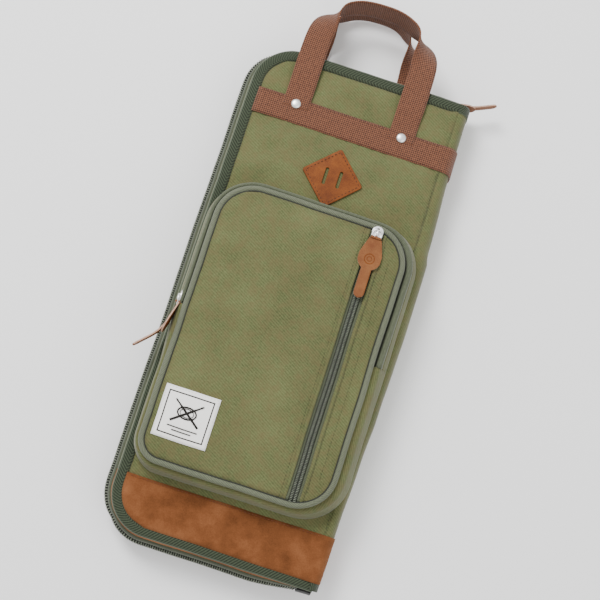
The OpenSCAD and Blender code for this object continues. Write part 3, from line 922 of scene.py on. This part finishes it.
def strap_row(t, front, arch_z, columns=8):
    """A row of points across the strap at t: flat on its legs, turned on edge over the arch."""
    x, y = strap_middle(t, front)
    (xa, ya), (xb, yb) = strap_middle(max(t - 0.004, 0), front), strap_middle(min(t + 0.004, 1), front)
    n = hypot(xb - xa, yb - ya)
    side = Vector(((yb - ya) / n, -(xb - xa) / n, 0))
    turned = smooth((t - 0.31) / 0.12) * smooth((0.69 - t) / 0.12)
    flip = radians(98 * turned)
    wide = side * cos(flip) + Vector((0, 0, 1)) * sin(flip)
    leg_z = depth_to_z(front, mix(1.5, -0.2, smooth((y - BAND_TOP - 2) / 26)))
    middle = Vector((x + HANDLE_MID, y, mix(leg_z, arch_z, turned)))
    return [middle + wide * STRAP_W * (i / columns - 0.5) for i in range(columns + 1)]


def handle(half, front):
    """One webbing strap: its two ends go under the band, and its arch stands twisted above the bag."""
    arch_z = 1.5 * STRAP_W + 1.9 if front else STRAP_W / 2 + 0.4
    rows = [strap_row(i / 150, front, arch_z) for i in range(151)]
    obj = sheet_shell(half + "_strap", rows, WEBBING, STRAP_T)
    edge = box(half + "_handle")[0][1]
    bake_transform(obj)
    enter(obj, "webbing", None, half + "_handle", half + "_handle_ends")
    for k, (x, y) in enumerate(RIVETS):
        cap = rivet(f"{half}_rivet_{k}", soften((x, y, depth_to_z(front, 0.15))), 1 if front else -1)
        enter(cap, "steel", half + "_half", *([half + "_rivets"] if k == 0 else []))


def face_seams(half, front):
    """Rows of stitches on one half's face: the band, the suede's edge, and the seam beside the spine."""
    across, inner = rows_between(-90, STITCH_X - 3, 8), STITCH_X - 2.2
    seams = [(f"band_seam_{k}", [(x, y, 0.05) for x in across], BROWN_THREAD, "webbing")
             for k, y in enumerate((BAND_Y + 1.6, BAND_TOP - 1.6))]
    seams += [("suede_seam", [(x, SUEDE_Y - 1.8, 0.55) for x in across], TAN_THREAD, "suede"),
              ("spine_seam", [(STITCH_X - 1.2, y, SEAM_DEPTH - 0.25) for y in rows_between(SUEDE_Y + 1, BAND_Y - 1, 6)],
               OLIVE_THREAD, "canvas"),
              ("suede_spine_seam", [(inner, y, 0.3) for y in rows_between(BOTTOM + 10, SUEDE_Y - 2, 5)],
               TAN_THREAD, "suede"),
              ("webbing_spine_seam", [(inner, y, 0.2) for y in rows_between(BAND_Y + 2, BAND_TOP - 2, 5)],
               BROWN_THREAD, "webbing")]
    for name, line, material, slot_name in seams:
        line = [(x, y, depth_to_z(front, d)) for x, y, d in line]
        seam = stitches(f"{half}_{name}", line, material, d=0.65 if slot_name == "suede" else 0.5)
        enter(seam, slot_name, half + "_half")


def cut_shape(name, outlines, z0, z1, edge, material, edge_material=None):
    """A flat piece cut to its outlines, the first being its outside, with rounded edges."""
    curve = bpy.data.curves.new(name, "CURVE")
    curve.dimensions, curve.fill_mode = "2D", "BOTH"
    curve.bevel_depth, curve.bevel_resolution = edge * MM, 2
    curve.offset, curve.extrude = -edge * MM, ((z1 - z0) / 2 - edge) * MM
    for outline in outlines:
        spline = curve.splines.new("POLY")
        spline.points.add(len(outline) - 1)
        for point, (x, y) in zip(spline.points, outline):
            point.co = (x * MM, y * MM, 0, 1)
        spline.use_cyclic_u = True
    made = place_object(name, curve)
    mesh = bpy.data.meshes.new_from_object(made.evaluated_get(bpy.context.evaluated_depsgraph_get()))
    bpy.data.objects.remove(made)
    mesh.transform(Matrix.Translation((0, 0, (z0 + z1) / 2 * MM)))
    layer = mesh.uv_layers.new(name="weave")
    for loop in mesh.loops:
        layer.data[loop.index].uv = mesh.vertices[loop.vertex_index].co.xy / MM
    mesh.materials.clear()
    mesh.materials.append(material)
    rework(mesh, lambda work: bmesh.ops.remove_doubles(work, verts=work.verts, dist=1e-6))
    if edge_material:
        mesh.materials.append(edge_material)
        for face in mesh.polygons:
            face.material_index = int(abs(face.normal.z) < 0.5)
    for face in mesh.polygons:
        face.use_smooth = abs(face.normal.z) < 0.99
    return place_object(name, mesh)


def rounded_outline(corners, radius, count=6):
    """Points of a polygon with its corners rounded."""
    points = []
    total = len(corners)
    for k in range(total):
        before, here, after = (Vector(corners[(k + j) % total]) for j in (-1, 0, 1))
        a, b = (before - here).normalized(), (after - here).normalized()
        reach = radius / tan(a.angle(b) / 2)
        start, end = here + a * reach, here + b * reach
        for i in range(count + 1):
            t = i / count
            points.append(tuple(start.lerp(here, t).lerp(here.lerp(end, t), t)))
    return points


def lash_patch():
    """The leather square standing on its corner, with two slots and a sewn edge."""
    corners = [(1, 0), (0, 1), (-1, 0), (0, -1)]
    outline = rounded_outline([(PATCH_R * a, PATCH_R * b) for a, b in corners], 3)
    slots = [rounded_outline([(x + 1.5, 8.2), (x - 1.5, 8.2), (x - 1.5, -8.2), (x + 1.5, -8.2)], 1.3)
             for x in (-6.9, 6.9)]
    patch = cut_shape("leather_lash_patch", [outline] + slots, THICK + 0.2, THICK + 2.2, 0.5, LEATHER)
    inset = PATCH_R - 3.6
    line = [(a * inset, b * inset, THICK + 2.2) for a, b in corners + corners[:1]]
    seam = stitches("lash_patch_seam", line, DARK_THREAD, 2.2, 1.5, 0.65, soft=False)
    for piece, replaced in ((patch, ["lash_patch"]), (seam, [])):
        for vertex in piece.data.vertices:
            vertex.co.y += PATCH_Y * MM
            rest = height_on("front_panel_pad", vertex.co.x / MM, vertex.co.y / MM)
            vertex.co.z += (rest - THICK - 0.1) * MM
        enter(piece, "leather", "front_half", *replaced)


# ---- Outer pocket ----

def fold_blend(obj):
    """Bakes the placing of a piece of the pocket's face into its mesh."""
    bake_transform(obj)


def wall_share(station):
    """How far the pocket's wall stands out, as a share of its usual flare."""
    _, y, nx, _, _ = station
    return (1.0 + 0.9 * smooth(nx)) * (1.0 - 0.45 * smooth(-nx) * smooth((FOLD_Y - 10 - y) / 50))


def pocket_walls():
    """The pocket's canvas wall, its zipper's two tapes and coils, and a near-black strip of painted shade in the groove
    under the flap's piping.
    """
    wall = [(0.2, 6.6, THICK - 1.2), (0.6, 6.0, THICK + 2), (0.8, 4.8, THICK + 6), (0.4, 4.4, THICK + 10.5),
            (0.2, 4.0, ZIP_Z - 3.6)]
    whole = wall + [(0.2, 3.6, ZIP_Z + 1.0), (0.1, 2.9, ZIP_Z + 3.0), (0.2, 1.0, ZIP_Z + 4.4),
                    (-0.6, 0.2, ZIP_Z + 4.0), (-2.0, 0.0, ZIP_Z + 5.6)]
    tape = [(0.0, 4.2, ZIP_Z - 4.6), (0.1, 4.1, ZIP_Z - 2.2), (0.0, 3.8, ZIP_Z - 0.9)]
    flap = [(0.0, 3.5, ZIP_Z + 0.7), (0.0, 3.8, ZIP_Z + 2.2), (0.0, 3.6, ZIP_Z + 3.7), (0.1, 2.6, ZIP_Z + 4.6),
            (0.3, 1.5, ZIP_Z + 4.4), (0.0, 1.0, ZIP_Z + 3.4)]
    # seam: the line of a near-black strip in the groove under the flap's piping, painted shade
    seam = [(1.2, 0.5, ZIP_Z + 3.1), (-0.6, 0.0, ZIP_Z + 3.7), (-2.2, 0.0, ZIP_Z + 5.4)]
    for name, parts, line, thickness, material, slot_name, body, nodes in (
            ("pocket_wall_upper", POCKET_UPPER, wall, 1.1, CANVAS, "canvas", "front_half", []),
            ("pocket_zipper_cloth", POCKET_UPPER, tape, 0.8, TAPE, "piping", "front_half", ["outer_pocket_tape"]),
            ("pocket_wall_lower", POCKET_LOWER, whole, 1.1, CANVAS, "canvas", "front_half", ["outer_pocket_gusset"]),
            ("flap_zipper_cloth", POCKET_UPPER, flap, 0.8, TAPE, "piping", "pocket_flap", ["flap_tape"]),
            ("flap_groove_painted_shade", POCKET_UPPER, seam, 0.6, COIL_AND_SHADE_BASE, "coil", "pocket_flap", [])):
        strip(name, parts, 4, wall_share, line, thickness, material, slot_name, body, *nodes)
    stations = flared(stations_along(POCKET_UPPER, 3), POCKET_FLARE, wall_share)
    for name, body, side, shift, node in (("pocket_coil", "front_half", -1, 0.0, "outer_pocket_coil"),
                                          ("flap_coil_row", "pocket_flap", 1, 1.0, "flap_coil")):
        row = teeth(name, stations, (-0.2, ZIP_Z + side * 1.9), (0.3, ZIP_Z - side * 0.35), side * 0.5, 2.0, shift)
        enter(row, "coil", body, node)


def piping():
    """The corded edge round the pocket's face, and a near-black strip of painted shade in the groove inside it."""
    r = PIPING_D / 2
    cord = [(-r + r * cos(a), POCKET_TOP + 0.5 - r + r * sin(a))
            for a in full_turn(14, pi)]
    # groove: a near-black strip between the piping and the face, painted shade in the groove
    groove = [(-PIPING_D + 0.1 + 0.65 * cos(a), POCKET_TOP - 0.9 + 0.42 * sin(a))
              for a in (pi * k / 3 for k in range(5, -1, -1))]
    stations = stations_along(POCKET_UPPER + POCKET_LOWER, 3)[:-1]
    for name, section, material, nodes in (
            ("pocket_piping", cord, PIPING, ["outer_piping_lower", "outer_piping_upper"]),
            ("piping_groove_painted_shade", groove, COIL_AND_SHADE_BASE, [])):
        obj = sweep(name, stations, section, material, loop=True)
        fold_blend(obj)
        enter(obj, "piping", None, *nodes)


def pocket_ends(y, inset):
    """Left and right ends of the pocket's outline at height y, moved in by inset."""
    ends = []
    for side, top_r, low_r in ((-1, POCKET_RADII[0], POCKET_RADII[3]), (1, POCKET_RADII[1], POCKET_RADII[2])):
        edge = (POCKET_L if side < 0 else POCKET_R) - side * inset
        r = (top_r if y > FOLD_Y else low_r)
        over = (y - (POCKET_T - top_r)) if y > FOLD_Y else ((POCKET_B + low_r) - y)
        if over > 0:
            inner = r - inset
            edge -= side * (inner - sqrt(max(inner * inner - min(over, inner) ** 2, 0)))
        ends.append(edge)
    return ends


def face_z(x, y):
    """Height of the pocket's face: crowned from its piping, and drawn down a little at the zipper."""
    left, right = pocket_ends(y, FACE_INSET)
    edge = min(x - left, right - x, POCKET_T - FACE_INSET - y, y - POCKET_B - FACE_INSET)
    crown = 2.6 * (1 - exp(-max(edge, 0) / 16))
    dip = 0.9 * exp(-max(abs(x - FACE_ZIP_X) - SLOT_HALF, 0) / 7)
    return POCKET_TOP - 1.1 + crown - dip


def halves(part, side=""):
    """A face piece's CAD nodes on both sides of the fold."""
    return [f"{part}_{fold}{side}" for fold in ("lower", "upper")]


def face_panel(side, ends, y0, y1, columns, puff=None):
    """The face's canvas on one side of its zipper."""
    rows = []
    for y in rows_between(y0, y1, 4.5):
        xs = [mix(*ends(y), i / columns) for i in range(columns + 1)]
        rows.append([(x, y, face_z(x, y)) for x in xs])
    obj = stuffed("pocket_face_" + side, rows, 1.5, puff)
    remember(obj)
    fold_blend(obj)
    enter(obj, "canvas", None, *halves("outer_face", "_" + side))


def face_sheet(name, rows, material, thickness, slot_name, nodes=(), uv=None, turned=True):
    """A sheet of the pocket's face."""
    obj = sheet_shell(name, rows, material, thickness, uv, turned=turned)
    fold_blend(obj)
    enter(obj, slot_name, None, *nodes)


def pocket_face():
    """The face on both sides of its zipper, with folded edges, stitches, zipper tape and coils."""
    def left_ends(y):
        left, right = pocket_ends(y, FACE_INSET)
        return left, min(slot_left, right)

    slot_left, slot_right = FACE_ZIP_X - SLOT_HALF, FACE_ZIP_X + SLOT_HALF
    face_panel("left", left_ends, POCKET_B + FACE_INSET + 0.2, POCKET_T - FACE_INSET - 0.2, 30, (0.9, 1.8, 0.005))
    rise = sqrt((POCKET_RADII[1] - FACE_INSET) ** 2 - (slot_right + 0.8 - (POCKET_R - POCKET_RADII[1])) ** 2)
    low, high = POCKET_B + POCKET_RADII[2] - rise, POCKET_T - POCKET_RADII[1] + rise
    face_panel("right", lambda y: (slot_right, pocket_ends(y, FACE_INSET)[1]), low, high, 8)
    ys = rows_between(low - 1, high + 1, 5)
    for name, sheet, x, heights in (("left", "left", slot_left - 5.5, ys),
                                    ("right", "right", slot_right + 3.5, ys[2:-2]),
                                    ("far", "right", slot_right + 11, ys[5:-5])):
        line = [(x, y, settled("pocket_face_" + sheet, x, y, face_z(x, y)) + 0.1) for y in heights]
        seam = stitches("face_seam_" + name, line, OLIVE_THREAD)
        fold_blend(seam)
        enter(seam, "canvas")
    curl = ((3.0, 0.35), (1.2, 0.75), (0, 0.6), (-0.8, -0.2), (-0.5, -1.2))
    for name, side in (("facing_left", -1), ("facing_right", 1)):
        x = FACE_ZIP_X + side * SLOT_HALF
        rows = [[(x + side * a, y, face_z(x, y) + b) for a, b in curl] for y in ys]
        face_sheet(name, rows, CANVAS, 0.9, "canvas", uv=flat(rows), turned=side < 0)
    tape_z = POCKET_TOP - 1.7
    rows = [[(x, y, tape_z - 0.25 * abs(x - FACE_ZIP_X) / 8)
             for x in rows_between(FACE_ZIP_X - 8.6, FACE_ZIP_X + 8.6, 2)] for y in ys]
    face_sheet("face_zipper_cloth", rows, TAPE, 0.8, "piping", halves("face_zipper_tape"))
    # near-black sheet under the face zipper's teeth: painted shade in the gap between and beside the two coil rows
    rows = [[(FACE_ZIP_X + dx, y, tape_z + 0.45) for dx in (-3.8, 0, 3.8)] for y in ys]
    face_sheet("face_coil_painted_shade", rows, COIL_AND_SHADE_BASE, 0.5, "coil")
    run = [(FACE_ZIP_X, y, 1, 0, y - ys[0]) for y in ys]
    for name, side, shift, nodes in (("face_coil_left", -1, 0.0, halves("face_zipper_coil")),
                                     ("face_coil_right", 1, 0.75, [])):
        row = teeth(name, run, (side * 3.1, tape_z + 0.6), (side * 0.6, tape_z + 0.8), 0.6 * -side, 1.5, shift)
        fold_blend(row)
        enter(row, "coil", None, *nodes)
    rows = [[(mix(*pocket_ends(y, 4), i / 12), y, POCKET_TOP - 7.5) for i in range(13)]
            for y in rows_between(POCKET_B + 4.2, POCKET_T - 4.2, 7)]
    face_sheet("flat_pocket_cloth", rows, LINING, 0.8, "lining", halves("flat_pocket_lining"))


def zip_tab():
    """The cloth tab over the far end of the pocket's zipper."""
    low, high = box("outer_pocket_zip_tab")
    x, mid = POCKET_R + FLARE * 1.75 + 1.2, (low[2] + high[2]) / 2
    rows = [[(x - 0.056 * (z - mid) ** 2, y, z) for z in rows_between(low[2] - 1, high[2] + 1, 1.5)]
            for y in rows_between(low[1], high[1] + 4, 2)]
    enter(sheet_shell("pocket_zip_tab_cloth", rows, CANVAS, 1.6), "canvas", "front_half", "outer_pocket_zip_tab")


def woven_label():
    """A white woven label with a thin frame and a plain motif of two crossed sticks over a drum's rim."""
    (x0, y0, _), (x1, y1, _) = box("woven_label")
    cx, cy = (x0 + x1) / 2, (y0 + y1) / 2

    def surface(x, y):
        return settled("pocket_face_left", x, y, face_z(x, y))

    def patch(name, a0, b0, a1, b1, lift, thick, material, *replaced):
        rows = [[(x, y, surface(x, y) + lift) for x in rows_between(a0, a1, max((a1 - a0) / 14, 0.4))]
                for y in rows_between(b0, b1, max((b1 - b0) / 14, 0.4))]
        obj = sheet_shell("label_" + name, rows, material, thick, flat(rows), turned=True)
        enter(obj, "label", "front_half", *replaced)

    def stroke(name, points, widths):
        """A raised line of dark thread through points on the label."""
        rows = []
        for k, ((x, y), w) in enumerate(zip(points, widths)):
            (xa, ya), (xb, yb) = points[max(k - 1, 0)], points[min(k + 1, len(points) - 1)]
            n = hypot(xb - xa, yb - ya)
            ox, oy = -(yb - ya) / n * w / 2, (xb - xa) / n * w / 2
            rows.append([(x + ox * t, y + oy * t, surface(x, y) + 1.15) for t in (1, 0, -1)])
        enter(sheet_shell("label_" + name, rows, LABEL_INK, 0.4), "label", "front_half")

    def line_through(a, b, count):
        return [(mix(a[0], b[0], i / count), mix(a[1], b[1], i / count)) for i in range(count + 1)]

    patch("cloth", x0, y0, x1, y1, 1.0, 0.9, LABEL, "woven_label")
    inset, line = 4.2, 1.1
    left, low, right, high = x0 + inset, y0 + inset, x1 - inset, y1 - inset
    for name, *ends in (("low", left, low, right, low + line), ("high", left, high - line, right, high),
                        ("left", left, low, left + line, high), ("right", right - line, low, right, high)):
        patch("frame_" + name, *ends, 1.15, 0.4, LABEL_INK)
    taper = [1.9] * 12 + [1.65, 1.4, 1.15, 1.6, 1.0]
    for name, lean in (("stick_left", 1), ("stick_right", -1)):
        stroke(name, line_through((cx - lean * 13, cy - 7), (cx + lean * 13, cy + 13), 16), taper)
    for name, radius, width in (("rim_outer", 8.5, 1.3), ("rim_inner", 6.2, 0.6)):
        angles = [2 * pi * i / 48 for i in range(49)]
        stroke(name, [(cx + radius * cos(a), cy + 3 + radius * 0.62 * sin(a)) for a in angles], [width] * 49)
    for k, (half_w, y) in enumerate(((14, cy - 11.5), (9, cy - 14.5))):
        stroke(f"rule_{k}", line_through((cx - half_w, y), (cx + half_w, y), 10), [0.9] * 11)
    left, low, right, high = x0 + 1.4, y0 + 1.4, x1 - 1.4, y1 - 1.4
    corners = [(left, low), (right, low), (right, high), (left, high), (left, low)]
    line = [p for a, b in zip(corners, corners[1:]) for p in line_through(a, b, 8)[:-1]] + corners[:1]
    seam = stitches("label_stitches", [(x, y, surface(x, y) + 1.1) for x, y in line], WHITE_THREAD, 2.0, 1.0, 0.4)
    enter(seam, "label", "front_half")


# ---- Sliders and leather pulls ----

BAR_Y, BAR_Z = -8.1, 2.1


def turned_by(angle, axis):
    """A turn by an angle in degrees."""
    return Matrix.Rotation(radians(angle), 4, axis)


def slider_places():
    """Matrix of each slider's flat drawing, whose closed end is +Y and whose outside is +Z, in millimetres."""
    low, high = box("main_slider")
    main = Matrix.Translation((low[0] + 5.5, low[1] - 0.3, (low[2] + high[2]) / 2))
    main = main @ turned_by(-90, "X") @ turned_by(90, "Z")
    low, high = box("pocket_slider")
    side = Matrix.Translation((high[0] + 0.3, high[1] - 5.5, (low[2] + high[2]) / 2)) @ turned_by(-90, "Y")
    low, high = box("face_slider")
    face = Matrix.Translation(((low[0] + high[0]) / 2, high[1] - 5.5, low[2] - 0.3))
    return {"main": main, "pocket": side, "face": face}


def tube(name, line, radius, material, sides=8, closed=False):
    """A wire along a line of points."""
    line = [Vector(p) for p in line]
    points = []
    for k, p in enumerate(line):
        before = line[k - 1] if closed or k else p
        after = line[(k + 1) % len(line)] if closed or k + 1 < len(line) else p
        run = (after - before).normalized()
        side = run.cross(Vector((0, 0, 1)))
        side = side.normalized() if side.length > 0.1 else Vector((1, 0, 0))
        other = run.cross(side).normalized()
        for a in full_turn(sides):
            points.append(p + (side * cos(a) + other * sin(a)) * radius)
    return make(name, points, ring_faces(len(line), sides, closed), material, soft=False)


def slider(name, place):
    """A cast slider: a waisted top plate, a bridge, and a wire bail that holds the leather."""
    outline = [(5.3 * cos(pi * i / 18), 0.4 + 5.3 * sin(pi * i / 18)) for i in range(19)]
    outline += [(-5.1, -5.2), (5.1, -5.2)]
    hole = rounded_outline([(1.1, 2.0), (1.1, 3.6), (-1.1, 3.6), (-1.1, 2.0)], 0.5, 3)
    plate = cut_shape(name + "_plate", [outline, hole], 0.3, 2.0, 0.5, STEEL)
    arch = [(0, 1.4, 1.4), (0, 1.0, 2.6), (0, -0.4, 3.2), (0, -2.0, 3.2), (0, -3.4, 2.6), (0, -4.2, 1.4)]
    bridge = tube(name + "_bridge", arch, 1.25, STEEL, 10)
    turns = []
    for a in full_turn(28):
        c, s = cos(a), sin(a)
        x = 4.5 * copysign(abs(c) ** 0.7, c)
        y = (BAR_Y - 0.6) / 2 + 1.0 + (abs(BAR_Y) / 2 + 0.9) * copysign(abs(s) ** 0.8, s)
        turns.append((x, y, BAR_Z + 0.12 * (y + 8)))
    ring = tube(name + "_bail", turns, 0.75, STEEL, 8, True)
    obj = join(name + "_cast", [plate, bridge, ring])
    obj.data.transform(scaled(place))
    return obj


def scaled(matrix):
    """A millimetre matrix for a mesh in metres."""
    moved = matrix.copy()
    moved.translation = moved.translation * MM
    return moved


def leaf_outline():
    """The pull's front leaf: a shield that widens from its neck to a round end."""
    points = []
    for i in range(45):
        y = 1.2 - 30.2 * i / 44
        round_part = 10.9 * sqrt(max(1 - ((y + 18.2) / 10.8) ** 2, 0))
        neck = 6.0 + 4.7 * min(max(-y / 14, 0), 1) ** 0.85
        points.append((max(min(round_part, 10.7), 0.05) if y < -18.2 else neck, y))
    return points + [(-x, y) for x, y in points[::-1]]

def puller(which, place, tilt, bend, tail, outside):
    """A leather strip folded through the bail: a drop-shaped leaf with a pressed ring, and a longer tail behind."""
    name, body = which + "_pull", which + "_puller"
    leaf = cut_shape(name + "_leaf", [leaf_outline()], 0.15, 1.65, 0.3, PULL_LEATHER, LEATHER_EDGE_HIGHLIGHT)
    for radius, width, label in ((4.6, 0.45, "ring"), (2.2, 0.35, "dot")):
        ring = [(radius * cos(a), -18.4 + radius * sin(a), 1.62)
                for a in full_turn(32)]
        leaf = join(name + "_leaf", [leaf, tube(f"{name}_{label}", ring, width, LEATHER, 6, True)])
    rows, y, z, count, half_width = [], 2.0, -0.1, 44, 4.9
    step = (tail + 2.0) / count
    for i in range(count + 1):
        angle = radians(bend) * smooth((step * i - 12) / (tail * 0.55))
        left = step * (count - i)
        w = half_width if left > half_width else sqrt(max(half_width ** 2 - (half_width - left) ** 2, 0.3))
        rows.append([(x, y, z) for x in rows_between(-w, w, w / 3.5)])
        y -= step * cos(angle)
        z -= step * sin(angle)
    under = sheet_shell(name + "_tail", rows, PULL_LEATHER, 1.5, soft=False, turned=True)
    # the tail's cut edges get the lighter colour of the painted edge highlight
    under.data.materials.append(LEATHER_EDGE_HIGHLIGHT)
    for face in under.data.polygons:
        face.material_index = int(abs(face.normal.x) > 0.7 or face.area < 1.1e-6 and abs(face.normal.y) > 0.7)
    eye = [[(x, 1.0 + 1.5 * sin(a), 0.05 + 1.7 * cos(a)) for x in (-4.9, -2.5, 0, 2.5, 4.9)]
           for a in (pi * i / 12 for i in range(13))]
    wrap = sheet_shell(name + "_eye", eye, PULL_LEATHER, 1.3, soft=False)
    whole = join(name + "_leather", [leaf, under, wrap])
    local = place @ Matrix.Translation((0, BAR_Y, BAR_Z)) @ turned_by(tilt, "X")
    if outside:
        local = local @ Matrix.Scale(-1, 4, (0, 0, 1))
    whole.data.transform(scaled(local))
    tidy_normals(whole.data)
    enter(whole, "leather", body, body)


def sliders():
    """The three cast sliders and their leather pulls."""
    places = slider_places()
    for name, place in places.items():
        enter(slider(name + "_slider", place), "steel", name + "_slider", name + "_slider")
    puller("main", places["main"], tilt=-10, bend=15, tail=50, outside=True)
    puller("pocket", places["pocket"], tilt=-13, bend=31, tail=56, outside=True)
    puller("face", places["face"], tilt=0, bend=-3, tail=56, outside=False)


# ---- Camera, floor and light ----

def look():
    """A camera in front of the closed bag, a little below its middle, with the bag leaning right in the picture."""
    distance, pitch, roll = 1.2, radians(8.9), radians(18.15)
    back = Vector((0, -sin(pitch), cos(pitch)))
    camera = place_object("camera", bpy.data.cameras.new("camera"))
    turn = back.to_track_quat("Z", "Y").to_matrix()
    camera.rotation_mode = "QUATERNION"
    camera.rotation_quaternion = (turn @ Matrix.Rotation(roll, 3, "Z")).to_quaternion()
    camera.location = Vector((0, 0, 0.003)) + back * distance
    camera.data.lens = 74.9
    camera.data.sensor_width = 36
    camera.data.shift_x, camera.data.shift_y = 0.0205, 0.0237
    camera.data.clip_end = 20
    bpy.context.scene.camera = camera


def light(name, place, size, power):
    """A soft square light at place that shines at the bag."""
    lamp = bpy.data.lights.new(name, "AREA")
    lamp.size, lamp.energy = size, power
    obj = place_object(name, lamp)
    obj.location = place
    obj.rotation_mode = "QUATERNION"
    obj.rotation_quaternion = (-Vector(place)).to_track_quat("-Z", "Y")


def studio():
    """A pale floor, an even sky and two soft lights."""
    s = Shader("pale_floor")
    bpy.ops.mesh.primitive_plane_add(size=12, location=(0, 0, -0.0014))
    floor = bpy.context.object
    floor.name = "floor"
    floor.data.materials.append(s.surface((0.97, 0.97, 0.97, 1), Roughness=0.9))
    world = bpy.data.worlds.new("studio")
    world.use_nodes = True
    s.feed(world.node_tree.nodes["Background"], Color=(1, 1, 1, 1), Strength=1.0)
    bpy.context.scene.world = world
    light("key", (-0.9, 0.9, 1.7), 0.8, 48)
    light("fill", (1.2, -0.6, 1.5), 1.4, 10)


# ---- Assembly ----

look()
studio()
for half, front in (("back", False), ("front", True)):
    padded_panel(half, front)
    over_face(half, front, "band", "webbing_band", "spine_webbing_band", BAND_Y, BAND_TOP,
              lift=1.5, thickness=1.3, material=WEBBING, step=2.6, slot_name="webbing")
    over_face(half, front, "suede", "suede_base", "spine_suede", BOTTOM + 8, SUEDE_Y,
              lift=1.2, thickness=1.2, material=SUEDE, step=4, slot_name="suede")
    spine_cover(half, front)
    binding(half, front)
    main_zipper(half, front)
    lining(half, front)
    stick_pocket(half, front, "tall", x0=-96, x1=1, mouth=140, sleeves=3)
    stick_pocket(half, front, "short", x0=2, x1=96, mouth=40, sleeves=2)
    handle(half, front)
    face_seams(half, front)
zipper_tabs()
lash_patch()
pocket_walls()
piping()
pocket_face()
zip_tab()
woven_label()
sliders()
